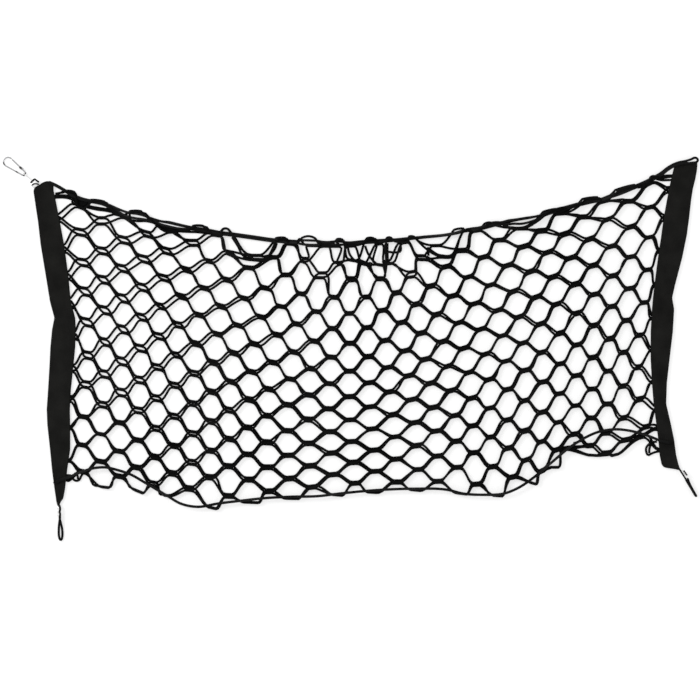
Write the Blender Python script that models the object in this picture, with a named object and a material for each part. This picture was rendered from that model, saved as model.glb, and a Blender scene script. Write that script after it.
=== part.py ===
"""Pet barrier net: cord mesh between two cloth side bands, lying flat, with a carabiner and two cord loops.

Metres, +Z up. The net lies on the floor, z = 0. The origin is on the floor, under the middle of the
box that holds everything but the two cord loops. +Y is the top edge of the net, +X its right side.
"""
import math
from collections import namedtuple

import bmesh
import bpy
import numpy as np
from mathutils import Matrix, Vector

MM = 0.001
GAP = 0.3 * MM                 # left between two pieces that touch

# The mesh: knotless cord, two layers fused into one flat lattice
NET_THICKNESS = 5.0 * MM
LEG_HALF_WIDTH = 2.0 * MM      # half the width of a slanting leg
JOINT_EXTRA = 0.8 * MM         # a joint, two cords side by side, is this much wider on each side
JOINT_HALF_LENGTH = 0.24       # in columns
JOINT_REACH = 0.45             # the inner corners this far up or down a cell are at a joint
FIRST_COLUMN = -15             # the column under the left band's seam
LAST_COLUMN = 17               # the column under the right band's seam
FIRST_ROW = -8                 # the row of joints on the rope
LAST_ROW = 12                  # the row of joints on the bottom cord
LAY_ROWS = (-8, -6, -4, 0, 4, 8, 12)

# Where the mesh lies: for some columns, the (x, y) in mm of the joint rows in LAY_ROWS
Lay = namedtuple("Lay", "column rope near high upper lower low foot")
MESH_LAY = (
    Lay(-15, (-440, 220), (-440, 186), (-433, 137), (-424, 50), (-418, -48), (-430, -137), (-426, -218)),
    Lay(-12, (-336, 183), (-338, 163), (-341, 123), (-340, 34), (-342, -61), (-346, -151), (-347, -232)),
    Lay(-8, (-198, 153), (-208, 131), (-215, 92), (-229, 11), (-235, -78), (-236, -168), (-242, -248)),
    Lay(-4, (-87, 138), (-92, 120), (-99, 68), (-113, -18), (-123, -99), (-124, -178), (-120, -250)),
    Lay(0, (4, 136), (4, 106), (0, 58), (0, -32), (-1, -108), (4, -173), (9, -235)),
    Lay(4, (82, 143), (86, 114), (95, 70), (110, -15), (123, -88), (131, -160), (132, -236)),
    Lay(8, (186, 158), (195, 138), (206, 97), (225, 20), (236, -57), (236, -147), (244, -227)),
    Lay(12, (316, 188), (318, 169), (327, 136), (339, 57), (340, -36), (337, -124), (330, -189)),
    Lay(15, (411, 216), (415, 203), (420, 164), (419, 72), (410, -24), (410, -120), (411, -177)),
    Lay(17, (474, 236), (480, 220), (477, 178), (469, 78), (453, -20), (462, -108), (465, -162)),
)

# Joints that hang lower than the even mesh, in swags under the rope: the drop in mm
SWAGS = {(-6, -7): 15, (6, -7): 16, (-2, -7): 4, (0, -7): 5, (2, -7): 5}

# Cells that are bunched shut, by column and row
BUNCHED = {
    (-13, -7), (-9, -7), (-5, -7), (5, -7), (3, -7),
    (11, 11), (13, 11), (15, 11), (15, 9), (16, 10),
    (-15, 9), (-15, 11), (17, 9), (17, 11),
}

# Side bands of folded cloth: at each height, the outer and the inner edge, in mm
BAND_THICKNESS = 3.0 * MM
BAND_CROWN = 0.6 * MM          # how much the middle of a band rises over its edges
BAND_CREASE = 0.35             # the part of the crown that a crease takes away
CREASE_LENGTH = 23.0           # mm of height to one radian of the creases
CREASE_SLANT = 5.0             # radians from edge to edge
BAND_FACES_ACROSS = 6
SEAM_GAP = 1.1 * MM            # from a band's edge to the mesh at its joints
SEAM_JOINT = 5.0 * MM          # the least length of a joint beside a band
BandRow = namedtuple("BandRow", "height outer inner")
LEFT_BAND = (
    BandRow(232, -458, -450),
    BandRow(229, -464, -446.5),
    BandRow(220, -475, -445),
    BandRow(205, -473, -442),
    BandRow(172, -468, -435),
    BandRow(137, -464, -428.5),
    BandRow(89, -456, -422),
    BandRow(52, -450, -418.5),
    BandRow(28, -445, -416),
    BandRow(-4, -448, -413.8),
    BandRow(-47, -450, -414),
    BandRow(-103, -455, -417),
    BandRow(-143, -453, -419.5),
    BandRow(-169, -450, -422),
    BandRow(-200, -446, -426.5),
    BandRow(-226, -444, -428),
    BandRow(-244, -441, -430),
    BandRow(-254, -439, -435),
)
RIGHT_BAND = (
    BandRow(258, 519, 487),
    BandRow(248, 519, 484),
    BandRow(221, 515, 478),
    BandRow(205, 513, 475),
    BandRow(178, 508, 470),
    BandRow(152, 505, 466.5),
    BandRow(118, 498, 461.5),
    BandRow(76, 487, 456),
    BandRow(58, 483, 454),
    BandRow(41, 486, 452.5),
    BandRow(7, 484, 450.5),
    BandRow(-35, 479, 450.5),
    BandRow(-70, 475, 452.5),
    BandRow(-101, 474, 455),
    BandRow(-131, 481, 459),
    BandRow(-155, 486, 462),
    BandRow(-178, 489, 464),
    BandRow(-192, 492.5, 467),
    BandRow(-197, 494.2, 471),
    BandRow(-198.5, 495.0, 486),
    BandRow(-200.2, 496.4, 491.5),
)

# Top rope: one elastic cord laid double along the net's top edge, its bend over the right corner
ROPE_RADIUS = 1.6 * MM
ROPE_PITCH = 3.6 * MM          # between the two strands
ROPE_STEP = 19 * MM            # between the points of its straight stretches
ROPE_CLEAR = 0.5 * MM          # from its side to the mesh's top joints
Spot = namedtuple("Spot", "x y z")
ROPE_LEAVES_NET_AT = 11        # column
ROPE_LEFT_END = (Spot(-445.2, 229.5, 1.6),)
ROPE_RIGHT_END = (
    Spot(358, 203, 1.6), Spot(392, 213.5, 1.6), Spot(427, 224, 1.6), Spot(449, 236, 1.6),
    Spot(468, 250, 1.6), Spot(481, 259.2, 1.6), Spot(494, 261.3, 1.6), Spot(506.4, 261.2, 1.6),
)
ROPE_CORNER = (
    Spot(513.2, 261.2, 1.6), Spot(516.6, 261.7, 1.6), Spot(518.8, 263.0, 1.6), Spot(519.2, 265.1, 1.6),
    Spot(517.9, 267.0, 1.6), Spot(515.3, 267.7, 1.6), Spot(511.8, 266.6, 1.6),
)

# Bottom cord: a single elastic cord laid over the lowest joints, its ends stitched on the bands
CORD_RADIUS = 1.4 * MM
CORD_STEP = 11 * MM
CORD_ON_NET = 6.85              # height of its middle, mm, where it lies on the mesh
CORD_ON_BAND = 5.4
BOTTOM_CORD = (
    Spot(-444, -220, CORD_ON_BAND), Spot(-438, -217, CORD_ON_BAND), Spot(-429, -213, CORD_ON_NET),
    Spot(-420, -210, CORD_ON_NET), Spot(-405, -204, CORD_ON_NET), Spot(-383, -197, CORD_ON_NET),
    Spot(-366, -196, CORD_ON_NET), Spot(-348, -200, CORD_ON_NET), Spot(-330, -206, CORD_ON_NET),
    Spot(-305, -220, CORD_ON_NET),
    Spot(-273, -239, CORD_ON_NET), Spot(-254, -250, CORD_ON_NET), Spot(-230, -255, CORD_ON_NET),
    Spot(-197, -250, CORD_ON_NET), Spot(-164, -246, CORD_ON_NET), Spot(-128, -242, CORD_ON_NET),
    Spot(-90, -240, CORD_ON_NET), Spot(-48, -239, CORD_ON_NET), Spot(-14, -235, CORD_ON_NET),
    Spot(27, -231, CORD_ON_NET), Spot(94, -228, CORD_ON_NET), Spot(148, -230, CORD_ON_NET),
    Spot(168, -235, CORD_ON_NET), Spot(199, -237, CORD_ON_NET), Spot(231, -235, CORD_ON_NET),
    Spot(253, -226, CORD_ON_NET), Spot(271, -214, CORD_ON_NET), Spot(300, -190, CORD_ON_NET),
    Spot(336, -161, CORD_ON_NET), Spot(375, -142, CORD_ON_NET), Spot(397, -139, CORD_ON_NET),
    Spot(418, -141, CORD_ON_NET), Spot(441, -147, CORD_ON_NET), Spot(457, -153, CORD_ON_NET),
    Spot(464, -156, CORD_ON_NET), Spot(473, -158, CORD_ON_BAND), Spot(480, -160, CORD_ON_BAND),
)

# Metal crimps: the top left one holds the eye of the carabiner, the bottom ones a cord loop each
CRIMP_HEIGHT = 6.0 * MM
TOP_LEFT_CRIMP = ((-480.0, 230.5), (-473.2, 236.6), (-466.6, 231.6), (-465.5, 228.25),
                  (-473.5, 221.7), (-478.5, 226.0))
SLEEVE_WIDTH = 5.2 * MM
SLEEVE_LENGTH = 15.2 * MM
SLEEVE_ROUNDING = 1.2 * MM
LEFT_SLEEVE_AT = Vector((-436.4, -262.05, 0)) * MM
RIGHT_SLEEVE_AT = Vector((500.35, -207.15, 0)) * MM
RIGHT_SLEEVE_TURN = math.radians(33)
LOOP_RADIUS = 1.3 * MM
LEFT_LOOP = (
    Spot(-435.0, -270.0, 1.3), Spot(-435.1, -273.4, 1.3), Spot(-436.0, -278.0, 1.3),
    Spot(-437.0, -284.0, 1.3), Spot(-437.5, -291.0, 1.3), Spot(-437.3, -297.5, 1.3),
    Spot(-436.5, -301.5, 1.3), Spot(-435.2, -304.0, 1.3), Spot(-433.7, -304.9, 1.3),
    Spot(-432.1, -303.9, 1.3), Spot(-430.9, -301.0, 1.3), Spot(-430.4, -297.0, 1.3),
    Spot(-430.6, -291.0, 1.4), Spot(-431.9, -285.0, 2.0), Spot(-433.4, -279.5, 3.4),
    Spot(-434.6, -275.0, 4.2), Spot(-435.0, -270.0, 4.3),
)
RIGHT_LOOP = (
    Spot(504.2, -214.3, 1.3), Spot(507.5, -219.7, 1.3), Spot(511.9, -227.0, 1.3), Spot(516.2, -234.0, 1.3),
    Spot(517.3, -235.9, 1.6), Spot(518.0, -237.0, 2.3), Spot(518.3, -237.1, 3.2), Spot(518.0, -236.3, 4.0),
    Spot(517.2, -234.6, 4.3), Spot(513.2, -226.6, 4.3), Spot(508.8, -218.8, 4.3), Spot(505.4, -213.5, 4.3),
)

# Carabiner: pear shaped, of 2 mm wire, in its own frame: the origin in the middle of its narrow end,
# +X towards the bow, +Y towards the side without a gate
HOOK_END = Vector((-487.5, 243.0, 3.16)) * MM
HOOK_TURN = math.radians(143.5)
HOOK_TILT = math.radians(3.2)
WIRE_RADIUS = 1.0 * MM
NARROW_HALF = 2.8 * MM
NARROW_CORNER = 1.2 * MM
BOW_CENTRE = 31.6 * MM
BOW_RADIUS = 6.9 * MM
BOW_STEPS = 14
BACK_POINTS = (24.0 * MM, 16.0 * MM, 8.0 * MM, 2.4 * MM)       # along +X, on the side without a gate
FRONT_POINTS = (3.0 * MM, 7.5 * MM)                            # and on the gate's side, short of the hinge
SEAT_AFTER_TIP = 1.4 * MM      # from the gate's tip to the wire's end
GATE_HINGE_AT = 11.0 * MM      # along +X
GATE_TIP_AT = 28.8 * MM
GATE_BARREL_RADIUS = 1.5 * MM
GATE_PIN_RADIUS = 0.6 * MM
FORK_WALL = 0.8 * MM
FORK_HALF_WIDTH = 1.7 * MM
FORK_CLEAR = 0.4 * MM          # behind the gate's barrel
FORK_ROOT = 2.2 * MM           # from the slot back over the wire
EYE_WIRE_RADIUS = 0.8 * MM
EYE_FOOT = Vector((-476.9, 233.9, 0.0)) * MM
EYE_LOW = 0.8 * MM
EYE_HIGH = 5.3 * MM
EYE_PAST = 0.37 * MM           # the middle of its bend past the middle of the hook's end


def clear_scene():
    for thing in list(bpy.data.objects):
        bpy.data.objects.remove(thing, do_unlink=True)


def collection(name):
    group = bpy.data.collections.new(name)
    bpy.context.scene.collection.children.link(group)
    return group


def material(name, colour, roughness, metallic):
    made = bpy.data.materials.new(name)
    made.use_nodes = True
    shader = made.node_tree.nodes["Principled BSDF"]
    shader.inputs["Base Color"].default_value = (*colour, 1.0)
    shader.inputs["Roughness"].default_value = roughness
    shader.inputs["Metallic"].default_value = metallic
    return made


def through(knots, values, at):
    """The value at one place on the smooth curve through the values at the knots."""
    slopes = np.gradient(values, knots)
    i = int(np.clip(np.searchsorted(knots, at) - 1, 0, len(knots) - 2))
    width = knots[i + 1] - knots[i]
    t = (at - knots[i]) / width
    start = (1 + 2 * t) * (1 - t) ** 2 * values[i] + t * (1 - t) ** 2 * width * slopes[i]
    end = t * t * (3 - 2 * t) * values[i + 1] + t * t * (t - 1) * width * slopes[i + 1]
    return start + end


def inner_edge(band, height):
    """Where a band's inner edge is at one height."""
    rising = band[::-1]
    return np.interp(height / MM, [row.height for row in rising], [row.inner for row in rising]) * MM


def lay(column, row):
    """The place on the floor of a column and row of the mesh."""
    columns = [station.column for station in MESH_LAY]
    place = []
    for axis in (0, 1):
        by_row = [through(columns, [station[level + 1][axis] for station in MESH_LAY], column)
                  for level in range(len(LAY_ROWS))]
        place.append(through(LAY_ROWS, by_row, row) * MM)
    for (swag_column, swag_row), drop in SWAGS.items():
        if row == swag_row and abs(column - swag_column) < 0.5:
            place[1] -= drop * MM
    left = inner_edge(LEFT_BAND, place[1]) + SEAM_GAP
    right = inner_edge(RIGHT_BAND, place[1]) - SEAM_GAP
    if column == FIRST_COLUMN:
        place[0] = left
    elif column == LAST_COLUMN:
        place[0] = right
    else:
        place[0] = min(max(place[0], left + SEAM_JOINT), right - SEAM_JOINT)
    return Vector((place[0], place[1], 0.0))


def places(spots):
    return [Vector(spot) * MM for spot in spots]


def smooth_path(points, spacing):
    """Points about `spacing` apart on the smooth curve through the given ones."""
    along = [0.0]
    for near, far in zip(points, points[1:]):
        along.append(along[-1] + (far - near).length)
    count = max(2, round(along[-1] / spacing))
    return [Vector([through(along, [point[axis] for point in points], along[-1] * step / count)
                    for axis in range(3)]) for step in range(count + 1)]


def finish(bm, name, group, shade, smooth=False):
    """Make an object of a closed bmesh."""
    bmesh.ops.recalc_face_normals(bm, faces=bm.faces)
    mesh = bpy.data.meshes.new(name)
    bm.to_mesh(mesh)
    bm.free()
    if smooth:
        mesh.shade_smooth()
        mesh.set_sharp_from_angle(angle=math.radians(40))
    mesh.materials.append(shade)
    made = bpy.data.objects.new(name, mesh)
    group.objects.link(made)
    return made


def tube(name, points, radius, group, shade):
    """A round cord or wire along a list of points, with filled caps."""
    curve = bpy.data.curves.new(name, "CURVE")
    curve.dimensions = "3D"
    curve.bevel_depth = radius
    curve.bevel_resolution = 2
    curve.use_fill_caps = True
    spline = curve.splines.new("POLY")
    spline.points.add(len(points) - 1)
    for spot, point in zip(spline.points, points):
        spot.co = (*point, 1.0)
    curve.materials.append(shade)
    made = bpy.data.objects.new(name, curve)
    group.objects.link(made)
    return made


def as_mesh(curve_object):
    """Turn a curve object into a welded mesh object, so that it can be cut or joined."""
    graph = bpy.context.evaluated_depsgraph_get()
    mesh = bpy.data.meshes.new_from_object(curve_object.evaluated_get(graph))
    bm = bmesh.new()
    bm.from_mesh(mesh)
    bmesh.ops.remove_doubles(bm, verts=bm.verts, dist=0.01 * MM)
    bm.to_mesh(mesh)
    bm.free()
    made = bpy.data.objects.new(curve_object.name + "_mesh", mesh)
    made.matrix_world = curve_object.matrix_world
    for group in curve_object.users_collection:
        group.objects.link(made)
    name = curve_object.name
    bpy.data.objects.remove(curve_object, do_unlink=True)
    made.name = name
    return made


def cutter(bm, name, group):
    """A helper solid that a Boolean reads; the build leaves it out."""
    bmesh.ops.recalc_face_normals(bm, faces=bm.faces)
    mesh = bpy.data.meshes.new(name)
    bm.to_mesh(mesh)
    bm.free()
    made = bpy.data.objects.new(name, mesh)
    made.hide_render = True
    made.display_type = "WIRE"
    group.objects.link(made)
    return made


def boolean(target, tool, operation):
    step = target.modifiers.new(tool.name, "BOOLEAN")
    step.operation = operation
    step.solver = "EXACT"
    step.object = tool


def box(low, high):
    bm = bmesh.new()
    bmesh.ops.create_cube(bm, size=1.0)
    size = Vector(high) - Vector(low)
    bmesh.ops.scale(bm, vec=size, verts=bm.verts)
    bmesh.ops.translate(bm, vec=(Vector(low) + Vector(high)) / 2, verts=bm.verts)
    return bm


def cylinder(radius, height, centre, sides=16):
    bm = bmesh.new()
    bmesh.ops.create_cone(bm, cap_ends=True, segments=sides, radius1=radius, radius2=radius, depth=height)
    bmesh.ops.translate(bm, vec=centre, verts=bm.verts)
    return bm


def cell_corners(column, row):
    """The corners of one cell: a joint above and below it, and the ends of the joints beside it."""
    near = JOINT_HALF_LENGTH
    if column == FIRST_COLUMN:
        spots = [(column, row - 1), (column + near, row - 1), (column + 1 - near, row),
                 (column + near, row + 1), (column, row + 1)]
    elif column == LAST_COLUMN:
        spots = [(column - near, row - 1), (column, row - 1), (column, row + 1),
                 (column - near, row + 1), (column - 1 + near, row)]
    else:
        spots = [(column - near, row - 1), (column + near, row - 1), (column + 1 - near, row),
                 (column + near, row + 1), (column - near, row + 1), (column - 1 + near, row)]
    return spots


def make_net(group, shade):
    """The flat lattice: a sheet of cells, each inset to an opening, raised to the mesh's thickness."""
    bm = bmesh.new()
    corners = {}
    open_cells = []
    for column in range(FIRST_COLUMN, LAST_COLUMN + 1):
        odd = column % 2
        first = FIRST_ROW + 1 if odd else FIRST_ROW + 2
        last = LAST_ROW - 1 if odd else LAST_ROW - 2
        for row in range(first, last + 1, 2):
            verts = []
            for spot in cell_corners(column, row):
                key = (round(spot[0], 3), spot[1])
                if key not in corners:
                    corners[key] = bm.verts.new(lay(*spot))
                verts.append(corners[key])
            face = bm.faces.new(verts)
            if (column, row) not in BUNCHED:
                open_cells.append(face)
    print(len(open_cells), "open cells of", len(bm.faces))
    bm.normal_update()
    bmesh.ops.inset_individual(bm, faces=open_cells, thickness=LEG_HALF_WIDTH, use_even_offset=True)
    for face in open_cells:
        middle = face.calc_center_median()
        reach = max(abs(vert.co.y - middle.y) for vert in face.verts)
        for vert in face.verts:
            if abs(vert.co.y - middle.y) > JOINT_REACH * reach:
                vert.co.y += math.copysign(JOINT_EXTRA, middle.y - vert.co.y)
    bmesh.ops.delete(bm, geom=open_cells, context="FACES_ONLY")
    raised = bmesh.ops.extrude_face_region(bm, geom=bm.faces[:])
    top = [item for item in raised["geom"] if isinstance(item, bmesh.types.BMVert)]
    bmesh.ops.translate(bm, vec=(0, 0, NET_THICKNESS), verts=top)
    return finish(bm, "net", group, shade)


def make_band(name, rows, group, shade):
    """A strip of folded cloth, flat below, a little crowned and creased above."""
    bm = bmesh.new()
    across = BAND_FACES_ACROSS
    bmesh.ops.create_grid(bm, x_segments=across, y_segments=len(rows) - 1, size=0.5)
    for vert in bm.verts:
        side = vert.co.x + 0.5
        row = rows[round((0.5 - vert.co.y) * (len(rows) - 1))]
        vert.co = Vector((row.outer + side * (row.inner - row.outer), row.height, 0.0)) * MM
    raised = bmesh.ops.extrude_face_region(bm, geom=bm.faces[:])
    for vert in raised["geom"]:
        if isinstance(vert, bmesh.types.BMVert):
            place = vert.co.y / MM
            row = min(rows, key=lambda one: abs(one.height - place))
            side = (vert.co.x / MM - row.outer) / (row.inner - row.outer)
            crown = BAND_CROWN * math.sin(math.pi * min(max(side, 0.0), 1.0))
            crease = BAND_CREASE * (1 + math.sin(place / CREASE_LENGTH + CREASE_SLANT * side)) / 2
            vert.co.z = BAND_THICKNESS + crown * (1 - crease)
    return finish(bm, name, group, shade, smooth=True)


def make_top_rope(group, shade):
    """The doubled rope, one strand out, round the corner and back."""
    strand = []
    for column in np.arange(FIRST_COLUMN + 1.0, ROPE_LEAVES_NET_AT + 0.1, 1.0):
        ahead = lay(column + 0.2, FIRST_ROW) - lay(column - 0.2, FIRST_ROW)
        up = Vector((-ahead.y, ahead.x, 0)).normalized()
        strand.append(lay(column, FIRST_ROW) + up * (ROPE_RADIUS + ROPE_CLEAR))
    lower = places(ROPE_LEFT_END)
    lower += [Vector((point.x, point.y, ROPE_RADIUS)) for point in strand]
    lower += places(ROPE_RIGHT_END)
    upper = []
    for i, point in enumerate(lower):
        ahead = lower[min(i + 1, len(lower) - 1)] - lower[max(i - 1, 0)]
        upper.append(point + Vector((-ahead.y, ahead.x, 0)).normalized() * ROPE_PITCH)
    route = smooth_path(lower, ROPE_STEP) + places(ROPE_CORNER) + smooth_path(upper[::-1], ROPE_STEP)
    return tube("top_rope", route, ROPE_RADIUS, group, shade)


def make_bottom_cord(group, shade):
    return tube("bottom_cord", smooth_path(places(BOTTOM_CORD), CORD_STEP), CORD_RADIUS, group, shade)


def make_top_left_crimp(group, shade):
    bm = bmesh.new()
    bm.faces.new([bm.verts.new((x * MM, y * MM, 0)) for x, y in TOP_LEFT_CRIMP])
    raised = bmesh.ops.extrude_face_region(bm, geom=bm.faces[:])
    top = [item for item in raised["geom"] if isinstance(item, bmesh.types.BMVert)]
    bmesh.ops.translate(bm, vec=(0, 0, CRIMP_HEIGHT), verts=top)
    bmesh.ops.bevel(bm, geom=bm.edges[:], offset=0.5 * MM, segments=2, profile=0.5, affect="EDGES",
                    material=-1)
    return finish(bm, "top_left_crimp", group, shade, smooth=True)


def make_sleeve(name, middle, turn, group, shade):
    """A short crimped sleeve that lies on the floor."""
    bm = box((-SLEEVE_WIDTH / 2, -SLEEVE_LENGTH / 2, 0), (SLEEVE_WIDTH / 2, SLEEVE_LENGTH / 2, CRIMP_HEIGHT))
    bmesh.ops.bevel(bm, geom=bm.edges[:], offset=SLEEVE_ROUNDING, segments=3, profile=0.5, affect="EDGES",
                    material=-1)
    bmesh.ops.rotate(bm, cent=(0, 0, 0), matrix=Matrix.Rotation(turn, 3, "Z"), verts=bm.verts)
    bmesh.ops.translate(bm, vec=middle, verts=bm.verts)
    return finish(bm, name, group, shade, smooth=True)


def side_at(along):
    """Half the carabiner's width, to the middle of its wire, on its straight sides."""
    slope = (BOW_RADIUS - NARROW_HALF) / BOW_CENTRE
    return NARROW_HALF + slope * along


def hook_route():
    """The wire of the carabiner's body, from the gate's seat round the bow to the hinge."""
    lean = math.atan((BOW_RADIUS - NARROW_HALF) / BOW_CENTRE)
    seat = GATE_TIP_AT + SEAT_AFTER_TIP
    route = [Vector((seat, -side_at(seat), 0))]
    start = -math.pi / 2 - lean
    for step in range(BOW_STEPS + 1):
        turn = start + (math.pi + 2 * lean) * step / BOW_STEPS
        route.append(Vector((BOW_CENTRE + BOW_RADIUS * math.cos(turn), BOW_RADIUS * math.sin(turn), 0)))
    for along in BACK_POINTS:
        route.append(Vector((along, side_at(along), 0)))
    for side, turns in ((1, (100, 125, 150, 180)), (-1, (180, 210, 235, 260))):
        corner = Vector((NARROW_CORNER, side * (NARROW_HALF - NARROW_CORNER), 0))
        for turn in turns:
            angle = math.radians(turn)
            route.append(corner + NARROW_CORNER * Vector((math.cos(angle), math.sin(angle), 0)))
    for along in FRONT_POINTS:
        route.append(Vector((along, -side_at(along), 0)))
    return route


def make_carabiner(parts, cutters, shade):
    """The body and its gate, built in their own frame and then carried to their place."""
    frame = bpy.data.objects.new("carabiner_frame", None)
    parts.objects.link(frame)
    frame.matrix_world = (Matrix.Translation(HOOK_END) @ Matrix.Rotation(HOOK_TURN, 4, "Z")
                          @ Matrix.Rotation(HOOK_TILT, 4, "Y"))
    hinge = Vector((GATE_HINGE_AT, -side_at(GATE_HINGE_AT), 0))
    slot_half = WIRE_RADIUS + GAP
    outer_half = slot_half + FORK_WALL

    body = as_mesh(tube("carabiner_body", hook_route(), WIRE_RADIUS, parts, shade))
    back = hinge.x - GATE_BARREL_RADIUS - FORK_CLEAR
    fork = cutter(box((back - FORK_ROOT, hinge.y - FORK_HALF_WIDTH, -outer_half),
                      (hinge.x + FORK_HALF_WIDTH, hinge.y + FORK_HALF_WIDTH, outer_half)), "fork", cutters)
    slot = cutter(box((back, hinge.y - 3 * FORK_HALF_WIDTH, -slot_half),
                      (hinge.x + 3 * FORK_HALF_WIDTH, hinge.y + 3 * FORK_HALF_WIDTH, slot_half)),
                  "fork_slot", cutters)
    pin = cutter(cylinder(GATE_PIN_RADIUS, 2 * outer_half - FORK_WALL, hinge), "gate_pin", cutters)
    boolean(body, fork, "UNION")
    boolean(body, slot, "DIFFERENCE")
    boolean(body, pin, "UNION")
    body.parent = frame

    tip = Vector((GATE_TIP_AT, -side_at(GATE_TIP_AT), 0))
    rod = as_mesh(tube("carabiner_gate", [Vector((0, 0, 0)), (tip - hinge) * 0.5, tip - hinge],
                       WIRE_RADIUS, parts, shade))
    barrel = cutter(cylinder(GATE_BARREL_RADIUS, 2 * WIRE_RADIUS, (0, 0, 0)), "gate_barrel", cutters)
    bore = cutter(cylinder(GATE_PIN_RADIUS + GAP, 4 * WIRE_RADIUS, (0, 0, 0)), "gate_bore", cutters)
    boolean(rod, barrel, "UNION")
    boolean(rod, bore, "DIFFERENCE")
    rod.parent = frame
    rod.location = hinge
    for helper in (fork, slot, pin):
        helper.parent = frame
    for helper in (barrel, bore):
        helper.parent = rod


def make_hook_eye(group, shade):
    """A wire eye on edge: two legs from the crimp, one above the other, and a bend round the hook's end."""
    towards = Vector((HOOK_END.x - EYE_FOOT.x, HOOK_END.y - EYE_FOOT.y, 0))
    reach = towards.length + EYE_PAST
    towards.normalize()
    radius = (EYE_HIGH - EYE_LOW) / 2
    middle = (EYE_HIGH + EYE_LOW) / 2
    route = []
    for along in (0.0, reach * 0.5):
        route.append(EYE_FOOT + towards * along + Vector((0, 0, EYE_LOW)))
    for step in range(9):
        turn = -math.pi / 2 + math.pi * step / 8
        route.append(EYE_FOOT + towards * (reach + radius * math.cos(turn))
                     + Vector((0, 0, middle + radius * math.sin(turn))))
    for along in (reach * 0.5, 0.0):
        route.append(EYE_FOOT + towards * along + Vector((0, 0, EYE_HIGH)))
    return tube("hook_eye", route, EYE_WIRE_RADIUS, group, shade)


def main():
    clear_scene()
    parts = collection("pet_barrier_net")
    cutters = collection("cutters")
    mesh_cord = material("mesh_cord", (0.012, 0.012, 0.012), 0.65, 0.0)
    band_cloth = material("band_cloth", (0.014, 0.013, 0.012), 0.8, 0.0)
    rope_cord = material("rope_cord", (0.016, 0.016, 0.016), 0.6, 0.0)
    loop_cord = material("loop_cord", (0.012, 0.012, 0.012), 0.6, 0.0)
    bright_steel = material("bright_steel", (0.8, 0.8, 0.8), 0.25, 1.0)
    crimp_steel = material("crimp_steel", (0.7, 0.7, 0.7), 0.35, 1.0)
    make_net(parts, mesh_cord)
    make_band("left_band", LEFT_BAND, parts, band_cloth)
    make_band("right_band", RIGHT_BAND, parts, band_cloth)
    make_top_rope(parts, rope_cord)
    make_bottom_cord(parts, rope_cord)
    make_top_left_crimp(parts, crimp_steel)
    make_sleeve("bottom_left_crimp", LEFT_SLEEVE_AT, 0.0, parts, crimp_steel)
    make_sleeve("bottom_right_crimp", RIGHT_SLEEVE_AT, RIGHT_SLEEVE_TURN, parts, crimp_steel)
    tube("bottom_left_loop", places(LEFT_LOOP), LOOP_RADIUS, parts, loop_cord)
    tube("bottom_right_loop", places(RIGHT_LOOP), LOOP_RADIUS, parts, loop_cord)
    make_hook_eye(parts, bright_steel)
    make_carabiner(parts, cutters, bright_steel)


main()
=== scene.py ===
# %% [markdown]
# # A pet barrier net, laid flat
# The net is knotless cord mesh in two full layers, hung on a doubled elastic rope at the top, an elastic
# cord at the bottom and a folded cloth band at each side. One corner has a small wire carabiner, and the
# bottom corners have a crimped cord loop each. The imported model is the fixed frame: every piece made
# here lies where its solid lies, in metres, and rides on one of its bodies.

# %% Load the fixed frame
import math
import random
from collections import namedtuple

import bmesh
import bpy
import numpy as np
from mathutils import Matrix, Vector


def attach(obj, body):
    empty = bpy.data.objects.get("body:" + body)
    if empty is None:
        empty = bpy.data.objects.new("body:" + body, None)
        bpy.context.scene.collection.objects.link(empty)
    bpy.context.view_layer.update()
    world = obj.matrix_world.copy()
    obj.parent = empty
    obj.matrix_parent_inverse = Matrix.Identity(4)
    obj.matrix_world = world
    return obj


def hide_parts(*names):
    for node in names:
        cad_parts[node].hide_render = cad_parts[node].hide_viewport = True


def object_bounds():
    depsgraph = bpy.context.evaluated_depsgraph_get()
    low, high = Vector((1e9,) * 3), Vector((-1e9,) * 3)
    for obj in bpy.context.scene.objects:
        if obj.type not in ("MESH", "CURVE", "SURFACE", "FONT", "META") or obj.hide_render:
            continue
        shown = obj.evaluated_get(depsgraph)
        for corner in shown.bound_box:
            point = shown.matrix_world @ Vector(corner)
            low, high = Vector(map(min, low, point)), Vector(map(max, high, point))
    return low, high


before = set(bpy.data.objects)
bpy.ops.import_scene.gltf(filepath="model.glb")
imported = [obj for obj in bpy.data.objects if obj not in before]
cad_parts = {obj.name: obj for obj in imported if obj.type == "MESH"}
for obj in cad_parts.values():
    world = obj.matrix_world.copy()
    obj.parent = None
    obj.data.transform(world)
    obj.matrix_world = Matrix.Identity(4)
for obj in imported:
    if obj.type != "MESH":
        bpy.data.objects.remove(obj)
cad_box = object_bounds()
MM = 0.001
Spot = namedtuple("Spot", "x y z")


def rows(kind, *values):
    """A table: one named row for each bracket of values, which are in mm where they are lengths."""
    return tuple(kind(*row) for row in values)


def add_object(name, data):
    """An object of some data, put in the scene at its origin."""
    made = bpy.data.objects.new(name, data)
    bpy.context.scene.collection.objects.link(made)
    return made


print("solids:", len(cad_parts), "box in mm:", [round(x / MM, 1) for corner in cad_box for x in corner])

# %% [markdown]
# ## The camera
# A flat net is shown from straight above. A long lens far away keeps both sides of the cords alike, so
# the net shows as a plan. The camera stands almost over the middle of the box.

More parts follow.
